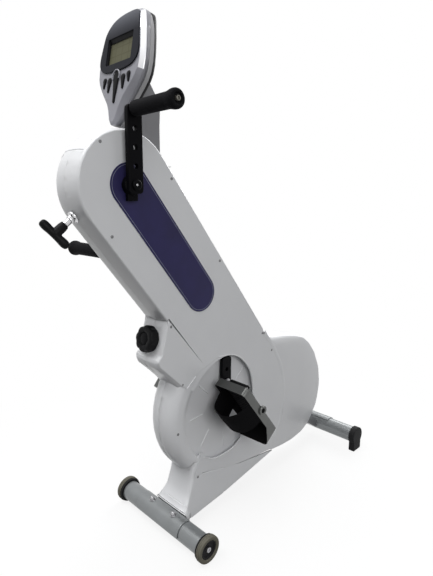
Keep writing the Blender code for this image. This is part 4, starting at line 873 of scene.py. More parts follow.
class TRAINER_OT_panels(bpy.types.Operator):
    """Build both bare side panels with the pale line round them"""

    bl_idname = "trainer.panels"
    bl_label = "Side panels"

    def execute(self, context):
        radius, margin, taper, hole_radius = 0.0452, 0.0042, 0.00001, 0.009
        ends = [on_side(t, 0.0).yz for t in (0.0, 0.3166)]
        outline = slot_outline(*ends, radius, radius - taper, 32)
        inner = slot_outline(*ends, radius - margin, radius - margin - taper, 32)
        hole = [polar(hole_radius, 360 * i / 32, ARM.yz) for i in range(32)]
        for tag, side in SIDES:
            film = filled([outline, hole], SIDE_X + 0.0003, SIDE_X + 0.0013, side_turn(side), 0.0002)
            piece_of(sharp_mesh(film), "side_film_" + tag, "panel", "frame", "violet_panel", ("side_panel_" + tag,))
            line = [Vector((side * (SIDE_X + 0.00132), y, z)) for y, z in inner]
            bead = tube_on(line, 0.0005, closed=True, sides=8, flat_by=0.35)
            piece_of(sharp_mesh(bead, 60), "side_line_" + tag, "trim", "frame", "white_plastic")
        return {"FINISHED"}


# Edge of the crank recess round its own middle, as (degrees, radius)
RECESS_MID = (LEG.y - 0.0232, LEG.z + 0.0095)
RECESS = ((-118, 0.136), (-100, 0.142), (-76, 0.1445), (-60, 0.1455), (-40, 0.140), (-20, 0.133), (0, 0.129),
          (15, 0.130), (33, 0.1345), (55, 0.138), (74, 0.1405), (95, 0.141))
# Low bead down the tail, as (y, z) from the front tube
TAIL_RIDGE = mm((337.5, 466.5), (353, 446), (364, 434.5), (380, 415), (392, 397), (404, 377), (416, 356), (428, 328),
                (439, 290), (442, 250), (439, 215), (431, 175), (423, 152), (412, 132), (400, 115))
# Front of the foot down to the saddle: top and bottom rows from the middle outwards, as (x, y, z)
APRON_TOP = mm((0, 27.4, 71.2), (30, 27.8, 70.8), (41.5, 29.2, 69.5), (51.2, 33, 66.8), (52.8, 35.5, 60),
               (52.9, 40, 50), (52.9, 47, 41))
APRON_LOW = mm((0, 16, 57.2), (32, 16.2, 57.1), (46, 17.2, 56.4), (56, 19.3, 54.6), (58.4, 24, 49.4), (58, 29.2, 39),
               (54.5, 37.5, 30))
SHOULDER = (mm((0, 60.5, 135), (30, 61.5, 140), (40, 66.5, 148), (43.8, 80, 160)),
            mm((0, 57.8, 142.5), (30, 58.8, 149.5), (40, 63.3, 157.5), (43.8, 82.2, 173)),
            mm((0, 70, 166.5), (30, 71, 173.5), (40, 75.5, 181.5), (43.8, 92, 195)))


def walled_sheet(rows, thickness, name):
    """A sheet through rows of points given for +X from the front tube, mirrored to both sides and thickened."""
    bm = bmesh.new()
    both = [[(-x, y, z) for x, y, z in reversed(row) if x > 0] + list(row) for row in rows]
    loft(bm, [[from_tube(y, z, x) for x, y, z in row] for row in both], wrap=False, caps=())
    if sum(face.normal.y * face.calc_area() for face in bm.faces) > 0:
        bmesh.ops.reverse_faces(bm, faces=bm.faces)
    obj = object_from(bm, name)
    obj.data.shade_smooth()
    wall = obj.modifiers.new("Wall", "SOLIDIFY")
    wall.thickness = thickness
    wall.offset = -1
    return applied(obj)


def sheet_rows(top, low, steps, dip):
    """Rows between two edges, drawn inwards in the middle."""
    rows = []
    for t in (k / steps for k in range(steps + 1)):
        sag = dip * math.sin(math.pi * t)
        rows.append([(a[0] + (b[0] - a[0]) * t ** 1.6, a[1] + (b[1] - a[1]) * t + sag, a[2] + (b[2] - a[2]) * t - sag)
                     for a, b in zip(top, low)])
    return rows


def ring_sector(first, last, inner, outer, count=24):
    """Outline of part of a flat ring round the foot crank's axle, in (y, z)."""
    angles = [first + (last - first) * i / count for i in range(count + 1)]
    return [polar(outer, a, LEG.yz) for a in angles] + [polar(inner, a, LEG.yz) for a in reversed(angles)]


class TRAINER_OT_cover_lips(bpy.types.Operator):
    """Close the covers' seams from inside and add the recess lip, the tail ridge and the foot's apron"""

    bl_idname = "trainer.cover_lips"
    bl_label = "Lips and apron"

    def execute(self, context):
        apron = walled_sheet(sheet_rows(APRON_TOP, APRON_LOW, 6, 0.0012), 0.0016, "foot_apron")
        piece_of(apron, "foot_apron", *COVER)
        skirt = [[(x * 0.97, y + back, z - drop) for x, y, z in APRON_LOW]
                 for back, drop in ((0.0022, -0.0020), (0.0030, 0.0040), (0.0048, 0.0130))]
        piece_of(walled_sheet(skirt, 0.0012, "skirt"), "foot_gasket", "rubber", "frame", "black_rubber")
        piece_of(walled_sheet(SHOULDER, 0.0015, "shoulder"), "foot_shoulder", *COVER)
        flap = [from_tube(y, z).yz for y, z in mm((64.5, 126.5), (90, 122), (108, 180), (93, 190), (82.6, 174.5))]
        for tag, side in SIDES:
            turn = side_turn(side)
            sector = filled([ring_sector(84, 146, 0.1475, 0.1790)], 0.0418, 0.0438, turn)
            add_to(sector, filled([flap], 0.0418, 0.0441, turn))
            piece_of(sharp_mesh(sector), "seam_backing_" + tag, *COVER)
            edge = [(side * 0.0427, *polar(radius + 0.0010, degrees, RECESS_MID)) for degrees, radius in RECESS]
            lip = tube_on(smooth_line(edge, 8), 0.0026, sides=14)
            piece_of(sharp_mesh(lip, 60), "recess_lip_" + tag, *COVER)
            ridge = smooth_line([from_tube(y, z, side * 0.0437) for y, z in TAIL_RIDGE], 5)
            bead = tube_on(ridge, 0.0075, sides=20, flat_by=0.19)
            piece_of(sharp_mesh(bead, 60), "tail_ridge_" + tag, *COVER)
        return {"FINISHED"}


# Cover screws on the flat side, by (t, n) and by (y, z) from the front tube, and on the rounded rim
SIDE_SCREWS = [on_side(t, n) for t, n in mm((-101, 0), (52, 97.5), (54.6, -97.5), (299.7, -97), (583, -96.5))] \
    + [from_tube(y, z) for y, z in mm((374.5, 404.5), (-5, 548), (78, 127.9), (336.5, 463.9))]
RIM_SCREWS = [from_tube(y, z) for y, z in mm((29, 396), (13, 272))]
# A dish rib's stations: distance from the axle, x of the dish, half width and share of the full height
RIB = ((0.0690, 0.0221, 0.0004, 0.2), (0.0740, 0.0226, 0.0016, 0.9), (0.0900, 0.0236, 0.0020, 1.0),
       (0.1080, 0.0247, 0.0021, 1.0), (0.1190, 0.0258, 0.0016, 0.8), (0.1240, 0.0262, 0.0004, 0.2))
RIB_TURN = math.radians(-87.7)


class TRAINER_OT_cover_trim(bpy.types.Operator):
    """Add the cover screws and the ribs of both crank dishes"""

    bl_idname = "trainer.cover_trim"
    bl_label = "Screws and dish ribs"

    def execute(self, context):
        cabinet = context.scene.trainer_cabinet
        places = []
        for _, side in SIDES:
            for spots, out in ((SIDE_SCREWS, 0.0001), (RIM_SCREWS, -0.0006)):
                places += [(Vector((side * (SIDE_X + out), p.y, p.z)), ACROSS * side) for p in spots]
        mesh = screws(places, cabinet.screw_size, "shadow")
        piece_of(mesh, "cover_screws", "shadow", "frame", "white_plastic")
        count = cabinet.rib_count
        for tag, side in SIDES:
            rows = []
            for r, x, half, share in RIB:
                height = cabinet.rib_height * share
                rows.append([(side * (x + up), r, half * aside) for up, aside in (
                    (-0.0008, -1.6), (height * 0.75, -0.55), (height, 0), (height * 0.75, 0.55), (-0.0008, 1.6))])
            rib = bmesh.new()
            loft(rib, rows)
            shape = object_from(rib)
            shape.data.shade_smooth()
            shape.data.transform(Matrix.Rotation(RIB_TURN, 4, "X"))
            mesh = by_nodes(ROUND_TREE, points_object(), Shape=shape, Count=count, Start=LEG,
                            Step=(2 * math.pi / count, 0, 0), Finish=FINISHES["cover"])
            piece_of(mesh, "dish_ribs_" + tag, *COVER)
        return {"FINISHED"}


class TRAINER_OT_stand(bpy.types.Operator):
    """Build the cross tubes, saddles, domed nuts and rear end caps"""

    bl_idname = "trainer.stand"
    bl_label = "Stand"

    def execute(self, context):
        radius = context.scene.trainer_stand.tube_radius
        paint = ("tube", "frame", "tube_paint")
        for name in ("front_stabilizer", "rear_stabilizer"):
            low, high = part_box(name)
            middle = (low + high) / 2
            lip = [(radius + r, h) for r, h in mm((-2, -0.4), (-1.6, 0), (-0.4, 0), (0, -0.4), up=high.x)]
            turned_piece(both_ways(lip), (0, middle.y, middle.z), ACROSS, name + "_tube", paint, (name,), 72)
        softened("front_saddle", "front_saddle_plate", paint, 0.0009, 32)
        softened("rear_saddle", "rear_saddle_plate", paint, 0.0009, 32)
        out = Vector((0, *polar(1, 100)))
        for tag, _ in SIDES:
            low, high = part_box("saddle_nut_" + tag)
            seat = from_tube(0, 0.033, (low.x + high.x) / 2) + out * (radius + 0.003 + 0.0006)
            nut = lathe(mm((0, 1), (8.2, 1), (8.5, 0.7), (8.5, 0), (0, 0)), seat, out, 40)
            add_to(nut, lathe(mm((0, 4.6), (6, 4.6), (6.5, 4.2), (6.5, 1), (0, 1)), seat, out, 6))
            add_to(nut, lathe(mm((0, 9.4), (1.8, 9.1), (3.3, 8.3), (4.4, 7), (5, 5.6), (5.2, 4.4), (0, 4.4)),
                              seat, out, 32))
            piece_of(sharp_mesh(nut, 35), "domed_nut_" + tag, "steel", "frame", "chrome", ("saddle_nut_" + tag,))
            softened("rear_cap_" + tag, "rear_end_cap_" + tag, ("rubber", "frame", "black_rubber"), 0.0022, 32, 3)
        return {"FINISHED"}


class TRAINER_OT_wheels(bpy.types.Operator):
    """Build the transport wheels with their tyres, hubs and bolts"""

    bl_idname = "trainer.wheels"
    bl_label = "Transport wheels"

    def execute(self, context):
        tyre = mm((19.5, 6), (32.2, 6), (32.9, 6.8), (33, 9), (32.2, 9.4), (32.2, 10), (33, 10.4), (33, 14.6),
                  (32.2, 15), (32.2, 15.6), (32.9, 16), (32.4, 18), (31.2, 19), (29, 19.5), (25.2, 19.5), (24, 19),
                  (23.2, 17.8), (22.8, 15), (19.5, 15))
        hub = mm((6.4, 0), (30, 0), (31.2, 1.2), (31.2, 5.8), (19.4, 5.8), (19.4, 14.2), (22.6, 14.6), (22, 16.8),
                 (20.6, 17.2), (19, 16), (17.8, 13.2), (11, 12.8), (6.4, 12.8))
        for tag, side in SIDES:
            low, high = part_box("transport_wheel_" + tag)
            middle = (low + high) / 2
            inner_x = low.x if side > 0 else high.x
            start = Vector((inner_x, middle.y, middle.z))
            axis = ACROSS * side
            turned_piece(tyre, start, axis, "wheel_tyre_" + tag, ("tyre", "wheel_" + tag, "wheel_rubber"),
                         ("transport_wheel_" + tag,), 72, 40)
            turned_piece(hub, start, axis, "wheel_hub_" + tag, ("rubber", "wheel_" + tag, "wheel_rubber"), (), 64, 35)
            low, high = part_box("wheel_bolt_" + tag)
            end = (high.x if side > 0 else -low.x) - inner_x * side
            bolt = mm((0, -2.2), (2.8, -2.2), (3.2, -0.7), (4.8, 0), (6, -0.6), (6.8, -2.4), (6.9, -4.4), (6, -4.6),
                      up=end) + mm((6, -0.6), (23.1, -0.6), (23.1, -13), (0, -13))
            turned_piece(bolt, start, axis, "wheel_bolt_head_" + tag, ("steel", "frame", "frame_steel"),
                         ("wheel_bolt_" + tag,), 48, 35)
        return {"FINISHED"}


def axle(name, centre, look):
    """A crank's axle with a dished screw head at each end."""
    profile = mm((0, -3), (3.4, -3), (3.9, -0.8), (6, 0), (8.5, -0.5), (10.5, -2), (10.5, -5), (8, -5),
                 up=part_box(name)[1].x)
    turned_piece(both_ways(profile), centre, ACROSS, name + "_bar", look, (name,), 48, 35)


class TRAINER_OT_hand_cranks(bpy.types.Operator):
    """Build the hand crank arms, their axle and the foam grips"""

    bl_idname = "trainer.hand_cranks"
    bl_label = "Hand cranks"

    def execute(self, context):
        painted = ("crank", "arm_cranks", "black_metal")
        grip = mm((5.4, 124.5), (9.2, 124.5), (9.7, 126.2), (10.8, 128.4), (12.8, 129), (15.2, 128.2), (16.8, 126.4),
                  (17.7, 123.8), (17.9, 120.5), (17.6, 116.5), (16.6, 111.5), (15.6, 107), (15.1, 102), (14.9, 80),
                  (14.8, 50), (14.9, 20), (15.1, 10), (15, 5), (14.4, 1.8), (13, 0.2), (10, 0), (5.4, 0))
        bolt = mm((0, 128), (2, 128), (2.4, 129.8), (3.4, 130.6), (4.4, 130), (5, 128.6), (5, -11.1), (0, -11.1))
        for tag, side in SIDES:
            softened("arm_crank_" + tag, "hand_crank_" + tag, painted, 0.0012)
            seat = Vector(JOINTS["grip_" + tag + "_turn"]["pos_m"])
            axis = ACROSS * side
            piece = turned_piece(grip, seat, axis, "foam_grip_" + tag, ("foam", "grip_" + tag, "black_rubber"),
                                 ("arm_grip_" + tag,), 56, 60)
            turned_piece(bolt, seat, axis, "grip_spindle_" + tag, ("dull", "arm_cranks", "frame_steel"),
                         ("grip_bolt_" + tag,), 40, 35)
        axle("arm_axle", ARM, painted)
        screw_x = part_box("arm_axle")[1].x - 0.0026
        mesh = screws([(Vector((side * screw_x, ARM.y, ARM.z)), ACROSS * side) for _, side in SIDES], 0.0030, "steel")
        piece_of(mesh, "hand_axle_screws", "steel", "arm_cranks", "frame_steel")
        return {"FINISHED"}


class TRAINER_OT_foot_cranks(bpy.types.Operator):
    """Build the foot crank arms, their axle and the pedal spindles"""

    bl_idname = "trainer.foot_cranks"
    bl_label = "Foot cranks"

    def execute(self, context):
        for tag, side in SIDES:
            softened("leg_crank_" + tag, "foot_crank_" + tag, ("crank", "leg_cranks", "black_metal"), 0.0011)
            low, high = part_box("pedal_spindle_" + tag)
            pivot = Vector(JOINTS["pedal_" + tag + "_turn"]["pos_m"])
            start, end = (low.x, high.x) if side > 0 else (-high.x, -low.x)
            end = min(end, 0.1105)
            pin = [(0, end), (0.0050, end), (0.0060, end - 0.0010), (0.0060, 0.0446), (0.0096, 0.0444),
                   (0.0100, 0.0440), (0.0100, 0.0404), (0.0051, 0.0403), (0.0051, start), (0, start)]
            turned_piece(pin, (0, pivot.y, pivot.z), ACROSS * side, "pedal_pin_" + tag,
                         ("steel", "leg_cranks", "frame_steel"), ("pedal_spindle_" + tag,), 40, 35)
        axle("leg_axle", LEG, ("chrome", "leg_cranks", "chrome"))
        return {"FINISHED"}


def pedal_place(side):
    """Gives the function that puts an (x, s, p) point of a pedal in its place."""
    pivot = Vector(JOINTS["pedal_right_turn" if side > 0 else "pedal_left_turn"]["pos_m"])
    tilt = Matrix.Rotation(0.0 if side > 0 else FAR_TILT, 3, "X")

    def place(x, s, p):
        point = tilt @ (DOWN * s + FRONT * p)
        return Vector((side * x, pivot.y + point.y, pivot.z + point.z))

    return place


def tray_wall(x, s):
    """Height of the tray's wall over the sole at a point of its outline."""
    out = (x - PEDAL_IN) / (PEDAL_OUT - PEDAL_IN)
    near = max(0.0, 1 - (HEEL_S - s) / 0.045)
    peak = 0.053 + (0.050 - 0.053) * out
    return 0.021 + (peak - 0.021) * near


def tray_outline(inset):
    """Outline of the tray with points along its straight sides too."""
    corners = rounded_box(PEDAL_IN + inset, PEDAL_OUT - inset, TOE_S + inset, HEEL_S - inset, 0.012 - inset)
    out = []
    for a, b in zip(map(Vector, corners), map(Vector, corners[1:] + corners[:1])):
        parts = 10 if (b - a).length > 0.02 else 1
        out += [tuple(a.lerp(b, k / parts)) for k in range(parts)]
    return out


# Rings of the tray from its base over the wall and down inside: inset, whether it follows the wall, and lift
TRAY_RINGS = mm((2.2, 0, 0), (0.6, 0, 0.6), (0, 0, 2.2), (0, 1, -1), (0.4, 1, -0.3), (1, 1, 0), (1.5, 1, -0.2),
                (1.8, 1, -1), (1.8, 0, 4), (3, 0, 2))
BARREL = (0.0545, 0.1120)
# The strap's line from the inner wall over the foot to the outer wall, as shares of its width and height
ARCH = ((0.0, 0.02), (0.0, 0.28), (0.03, 0.55), (0.11, 0.81), (0.26, 0.955), (0.46, 1.0), (0.66, 0.955),
        (0.83, 0.80), (0.95, 0.55), (1.0, 0.28), (1.0, 0.02))


def pedal_tray(tag, place, body):
    outer = tray_outline(0.0)
    rings = []
    for inset, walled, lift in TRAY_RINGS:
        ring = []
        for (x, s), (x0, s0) in zip(tray_outline(inset), outer):
            base = tray_wall(x0, s0) if walled else -0.0018
            ring.append(place(x, s, SOLE_P + base + lift))
        rings.append(ring)
    bm = bmesh.new()
    *steps, caps = loft(bm, rings)
    lined = [caps[1], *(face for k, faces in enumerate(steps) for i, face in enumerate(faces)
                        if k >= 6 or (outer[i][0] < PEDAL_IN + 0.006 and k >= 2))]
    low, high = (place(x, 0, 0) for x in BARREL)
    length = (high - low).length
    barrel = lathe(mm((6.4, 0), (10, 0), (11, 1)) + mm((11, -1), (10, 0), (6.4, 0), up=length), low, high - low, 36)
    web = bmesh.new()
    sections = [[place(x, s, p) for s, p in ((-0.0075, 0.0085), (-0.0075, SOLE_P - 0.0012), (0.0075, SOLE_P - 0.0012),
                                             (0.0075, 0.0085))] for x in (0.056, 0.140)]
    loft(web, sections)
    for face in (*lined, *barrel.faces, *web.faces):
        face.material_index = 1
    add_to(bm, barrel)
    add_to(bm, web)
    piece_of(sharp_mesh(bm, 38), "pedal_shell_" + tag, "tray", body, "silver_plastic", ("pedal_tray_" + tag,),
             ("lining",))


def pedal_tread(tag, place, body, count):
    sole = bmesh.new()
    loft(sole, [[place(x, s, p) for x, s in rounded_box(
        0.0563 + inset, 0.1477 - inset, TOE_S + 0.0063 + inset, HEEL_S - 0.0063 - inset, 0.006)]
        for inset, p in ((0.0, 0.0174), (0.0, 0.0192), (0.0008, 0.0198))])
    bar = bmesh.new()
    origin = place(0, 0, 0)
    profile = mm((-2.2, 19.5), (-1.6, 20.9), (0, 21.3), (1.6, 20.9), (2.2, 19.5))
    loft(bar, [[place(x, s, p) - origin for s, p in profile] for x in (0.0600, 0.1440)])
    first = place(0, TOE_S + 0.014, 0)
    step = (place(0, HEEL_S - 0.014, 0) - first) / (count - 1)
    bars = by_nodes(ROW_TREE, points_object(), Shape=object_from(bar), Count=count, Start=first, Step=step,
                    Finish=FINISHES["rubber"])
    bm = add_to(add_mesh(bmesh.new(), bars), sole)
    piece_of(sharp_mesh(bm, 40), "pedal_tread_" + tag, "rubber", body, "black_rubber", ("pedal_pad_" + tag,))


def pedal_strap(tag, place, body):
    low_x = PEDAL_IN + 0.0021
    wide = PEDAL_OUT - PEDAL_IN - 0.0042
    line = smooth_line([(low_x + wide * a, SOLE_P + 0.0765 * b) for a, b in ARCH], 5)
    last = len(line) - 1
    rows = []
    for i, here in enumerate(line):
        way = (line[min(i + 1, last)] - line[max(i - 1, 0)]).normalized()
        inner = Vector((way.y, -way.x))
        sag = 0.0016 * math.sin(math.pi * i / last)
        row = []
        for s, deep in ((-0.012, 0.0004), (-0.011, 0.0), (0.008, -sag * 0.6), (0.026, -sag), (0.044, -sag * 0.6),
                        (0.065, 0.0), (0.066, 0.0004), (0.066, 0.0016), (0.065, 0.0020), (0.026, 0.0020 - sag),
                        (-0.011, 0.0020), (-0.012, 0.0016)):
            spot = here + inner * deep
            row.append(place(spot.x, s, spot.y))
        rows.append(row)
    bm = bmesh.new()
    loft(bm, rows)
    piece_of(sharp_mesh(bm, 50), "foot_strap_" + tag, "webbing", body, "webbing", ("pedal_strap_" + tag,))


def strap_ring(tag, place, body):
    seat = place(0.1541, 0.044, 0.0195)
    collar = lathe(mm((0, 0.4), (5.6, 0.4), (6.2, 0.8), (6.6, 3.4), (8.8, 4.6), (11.8, 4.2), (12.8, 2.6),
                      (12.8, -0.6), (0, -0.6)), seat, place(1, 0, 0) - place(0, 0, 0), 36)
    for face in collar.faces:
        middle = face.calc_center_median() - seat
        face.material_index = int(middle.yz.length < 0.0064)
    piece_of(sharp_mesh(collar, 40), "strap_ring_" + tag, "tray", body, "silver_plastic", (), ("lining",))


class TRAINER_OT_pedals(bpy.types.Operator):
    """Build both tray pedals with their lining, tread, strap and strap ring"""

    bl_idname = "trainer.pedals"
    bl_label = "Pedals"

    def execute(self, context):
        for tag, side in SIDES:
            given = (tag, pedal_place(side), "pedal_" + tag)
            pedal_tray(*given)
            pedal_tread(*given, context.scene.trainer_touch.tread_count)
            pedal_strap(*given)
            strap_ring(*given)
        return {"FINISHED"}


# Buttons: node, body, the (u, v) middles of both ends and the radius of each end
BUTTONS = (("button_centre", "button_c", (0, 0.0165), (0, -0.0335), 0.0105, 0.0035),
           ("button_inner_right", "button_ir", (0.0240, 0.0105), (0.0258, -0.0095), 0.0075, 0.0030),
           ("button_inner_left", "button_il", (-0.0240, 0.0105), (-0.0258, -0.0095), 0.0075, 0.0030),
           ("button_outer_right", "button_or", (0.0422, 0.0140), (0.0440, 0.0010), 0.0062, 0.0028),
           ("button_outer_left", "button_ol", (-0.0422, 0.0140), (-0.0440, 0.0010), 0.0062, 0.0028))
# Right half of the bezel's outline from its bottom to its top
BEZEL = mm((0, 27.5), (18, 27.7), (36, 29), (50, 32.5), (60, 38.5), (66.2, 47), (67.8, 58), (66.8, 68), (62.8, 87),
           (60, 99), (56.8, 111), (51.2, 124), (44.8, 135), (37.5, 141.8), (27, 146.6), (13, 149.2), (0, 149.6))


# The rim with the painted highlight: faces above RIM_V that slope to the side
RIM_V = 0.020
RIM_OUT = (0.15, 0.83)
RIM_ASIDE = 0.35
RIM_DOWN = -0.3


def hole_edge(edge):
    """True between the face's flat front and the wall of a hole in it."""
    turns = sorted(abs(face.normal.dot(CON_W)) for face in edge.link_faces)
    return turns[0] < 0.1 and turns[1] > 0.95


def window_box(inset, radius, count):
    return rounded_box(-WINDOW_HALF + inset, WINDOW_HALF - inset, WINDOW_LOW + inset, WINDOW_HIGH - inset, radius,
                       count)


def console_shells():
    face = softened("console_front", "console_face", ("face", "frame", "silver_plastic"), 0.0012, 28, 3, hole_edge,
                    ("rim",))
    # These rim faces get the lighter silver, a painted highlight on the same paint as the face.
    for poly in face.data.polygons:
        out = poly.normal
        above = (poly.center - CON_O).dot(CON_V) > RIM_V
        sloping = RIM_OUT[0] < out.dot(CON_W) < RIM_OUT[1] and abs(out.x) > RIM_ASIDE
        if above and sloping and out.dot(CON_V) > RIM_DOWN:
            poly.material_index = 1
    shell = welded("console_back")
    bmesh.ops.bisect_plane(shell, geom=[*shell.verts, *shell.edges, *shell.faces], plane_co=con(0, 0, SIDE_W),
                           plane_no=CON_W)
    for part in shell.faces:
        part.material_index = int((part.calc_center_median() - CON_O).dot(CON_W) > SIDE_W)
    piece_of(smoothed(shell, 0.0022, 28, 3), "console_back_shell", "back", "frame", "black_plastic",
             ("console_back",), ("side",))
    softened("console_mast", "console_mast_shell", ("mast", "frame", "grey_plastic"), 0.0030, 35, 3)


def screen_bezel():
    """The dark frame, bent back towards its top."""
    half = smooth_line(BEZEL, 4)[1:-1]
    loop = [BEZEL[0], *(tuple(p) for p in half), *((-p[0], p[1]) for p in reversed(half))]
    bezel = filled([loop, window_box(0.0008, 0.0015, 3)], 0.0003, 0.0030, Matrix.Identity(4), 0.0007)
    for step in range(18):
        geometry = [*bezel.verts, *bezel.edges, *bezel.faces]
        bmesh.ops.bisect_plane(bezel, geom=geometry, plane_co=(0, BEND_V + 0.003 * step, 0), plane_no=(0, 1, 0))
    for vert in bezel.verts:
        vert.co.z -= BEND * max(0.0, vert.co.y - BEND_V) ** 2
    bezel.transform(CON_TURN)
    piece_of(sharp_mesh(bezel, 40), "screen_bezel", "bezel", "frame", "bezel", ("console_bezel",))


def screen(deep):
    """The frame that leads down to the glass, and the glass itself; the frame's near-black band, widest at the top, is
    partly painted shade of the recess.
    """
    rings = []
    # The top band is wider than the others: painted shadow under the top of the recess.
    for side_in, top_in, bottom_in, w in ((0.0003, 0.0003, 0.0003, 0.0006), (0.0008, 0.0008, 0.0008, 0.0),
                                          (0.0016, 0.0074, 0.0022, deep), (0.0016, 0.0074, 0.0022, deep - 0.0012),
                                          (0.0003, 0.0003, 0.0003, deep - 0.0012)):
        u, low, high = WINDOW_HALF - side_in, WINDOW_LOW + bottom_in, WINDOW_HIGH - top_in
        rings.append([con(u, low, w), con(u, high, w), con(-u, high, w), con(-u, low, w)])
    bm = bmesh.new()
    loft(bm, rings, caps=(), looped=True)
    piece_of(sharp_mesh(bm), "screen_surround", "frame", "frame", "bezel")
    glass = filled([window_box(0.0008, 0.001, 2)], deep - 0.0030, deep - 0.0013, CON_TURN, 0.0002)
    piece_of(sharp_mesh(glass), "screen_glass", "screen", "frame", "screen", ("display_panel",))


def button(name, body, a, b, ra, rb, rise):
    rings = []
    for shrink, w in ((0.0, -0.0060), (0.0, 0.0006), (0.0004, 0.0013), (0.0012, rise * 0.84), (0.0026, rise * 0.97)):
        loop = slot_outline(a, b, max(ra - shrink, 0.0012), max(rb - shrink * 0.8, 0.0006), 20)
        rings.append([con(u, v, w) for u, v in loop])
    bm = bmesh.new()
    *_, caps = loft(bm, rings)
    crown = bmesh.ops.poke(bm, faces=[caps[1]])["verts"][0]
    crown.co = con(a[0] * 0.7 + b[0] * 0.3, a[1] * 0.7 + b[1] * 0.3, rise)
    piece_of(sharp_mesh(bm, 50), name + "_cap", "button", body, "black_plastic", (name,))


class TRAINER_OT_console(bpy.types.Operator):
    """Build the console's shells, bezel, screen, buttons and mast"""

    bl_idname = "trainer.console"
    bl_label = "Console"

    def execute(self, context):
        settings = context.scene.trainer_console
        console_shells()
        screen_bezel()
        screen(-settings.screen_depth)
        for row in BUTTONS:
            button(*row, settings.button_rise)
        arch = [con(*polar(0.0125, -28 + 236 * i / 32, (0, 0.0165)), 0.0026) for i in range(33)]
        ring = tube_on(arch, 0.0014, sides=12, flat_by=0.85, up=CON_W)
        piece_of(sharp_mesh(ring, 50), "button_arch", "face", "frame", "silver_plastic")
        return {"FINISHED"}


# The lock's axis, and places along it in front of the column's centre line
LOCK = ARM + DOWN * -0.014
LOCK_N = 0.1183
COLLAR_N = LOCK_N + 0.0049
TEE_N = 0.170
TEE_HALF = 0.035
TEE_TWIST = math.radians(20)


def lock_tee():
    """The T grip, its bar and its boss melted into one moulding."""
    across = (DOWN * math.cos(TEE_TWIST) + ACROSS * math.sin(TEE_TWIST)).normalized()
    end = mm((0, 0), (4.4, -0.6), (7, -2.6), (8.3, -6), (8.9, -11), (8.7, -17), up=TEE_HALF)
    bm = lathe(both_ways([*end, (0.0080, 0.0110)], [(0.0078, 0.0)]), LOCK + FRONT * TEE_N, across, 32)
    boss = mm((0, 4), (6, 3), (9, 0), (10, -10), (9.8, -20), up=TEE_N)
    boss += mm((8.8, 20), (8.6, 19), (0, 19), up=COLLAR_N)
    add_to(bm, lathe(boss, LOCK, FRONT, 32))
    obj = object_from(bm)
    melt = obj.modifiers.new("Melt", "REMESH")
    melt.mode = "VOXEL"
    melt.voxel_size = 0.0010
    ease = obj.modifiers.new("Ease", "SMOOTH")
    ease.factor = 0.5
    ease.iterations = 7
    mesh = applied(obj)
    mesh.shade_smooth()
    piece_of(mesh, "lock_tee", "knob", "lock_handle", "black_plastic", ("lock_grip",))


def lobes(angle, height):
    """Eight finger dips round the knob, shallower at its foot."""
    dip = (0.5 - 0.5 * math.cos(8 * angle)) ** 1.5
    return 1.0 - 0.075 * dip * (1.0 if height > 0.003 else 0.5)


class TRAINER_OT_lock_and_knob(bpy.types.Operator):
    """Build the lock handle with its plated pin, and the tension knob"""

    bl_idname = "trainer.lock_and_knob"
    bl_label = "Lock handle and knob"

    def execute(self, context):
        flange = mm((4.8, 4.6), (8.6, 4.6), (9.4, 4), (11.8, 2.6), (12.9, 1.4), (13, 0), (7.2, 0), (7.2, -20),
                    (4.8, -20), up=LOCK_N)
        turned_piece(flange, LOCK, FRONT, "lock_rosette", ("chrome", "frame", "chrome"), ("lock_flange",), 56, 30)
        ring = mm((4.8, 6.4), (7.4, 6.4), (8.2, 5.6), (8.5, 4.4), (8, 3.6), (8.5, 2.8), (8.5, 0.6), (8, 0), (4.8, 0),
                  up=COLLAR_N)
        turned_piece(ring, LOCK, FRONT, "lock_sleeve", ("chrome", "lock_ring", "chrome"), ("lock_collar",), 48, 30)
        lock_tee()
        pin = mm((0, 25), (6.6, 25), (6.6, 7.4), (6, 6.7), (4.5, 6.7), up=COLLAR_N)
        pin += mm((4.5, -30), (0, -30), up=LOCK_N)
        turned_piece(pin, LOCK, FRONT, "lock_pin", ("chrome", "lock_handle", "chrome"), (), 40, 35)
        joint = JOINTS["knob_turn"]
        seat = Vector(joint["pos_m"])
        axis = Vector(joint["axis"]).normalized()
        grip = mm((0, 19.6), (15, 19.6), (16, 20.2), (16.8, 22.2), (18.4, 23), (25, 23), (28.4, 22.4), (30.4, 20.8),
                  (31.4, 18), (31.9, 14), (32, 8), (31.8, 3), (30.6, 0.8), (29, 0), (6, 0), (5, -1), (5, -25), (0, -25))
        turned_piece(grip, seat, axis, "knob_grip", ("knob", "knob", "black_plastic"), ("tension_knob",), 128, 40,
                     lobes)
        cap = mm((0, 22.2), (7, 22), (12, 21.4), (13.8, 20.6), (14.4, 19.6), (14.4, 19), (0, 19))
        turned_piece(cap, seat, axis, "knob_cap", ("button", "knob", "black_plastic"), (), 56, 40)
        return {"FINISHED"}


class TRAINER_OT_drive(bpy.types.Operator):
    """Finish the drive and the beams inside the cabinet"""

    bl_idname = "trainer.drive"
    bl_label = "Drive"

    def execute(self, context):
        plain = {"base_beam": "steel", "spine_beam": "steel", "link_belt": "rubber", "drive_belt": "rubber",
                 "drive_motor": "casting", "leg_pulley": "steel", "arm_pulley": "steel", "motor_pulley": "steel"}
        for name, key in plain.items():
            for slot in NODES[name].material_slots:
                slot.material = FINISHES[key]
        return {"FINISHED"}


# Studio


def lamp(name, place, target, size, power):
    data = bpy.data.lights.new(name, "AREA")
    data.shape = "DISK"
    data.size = size
    data.energy = power
    obj = linked(name, data)
    obj.location = place
    obj.rotation_euler = (Vector(target) - Vector(place)).to_track_quat("-Z", "Y").to_euler()


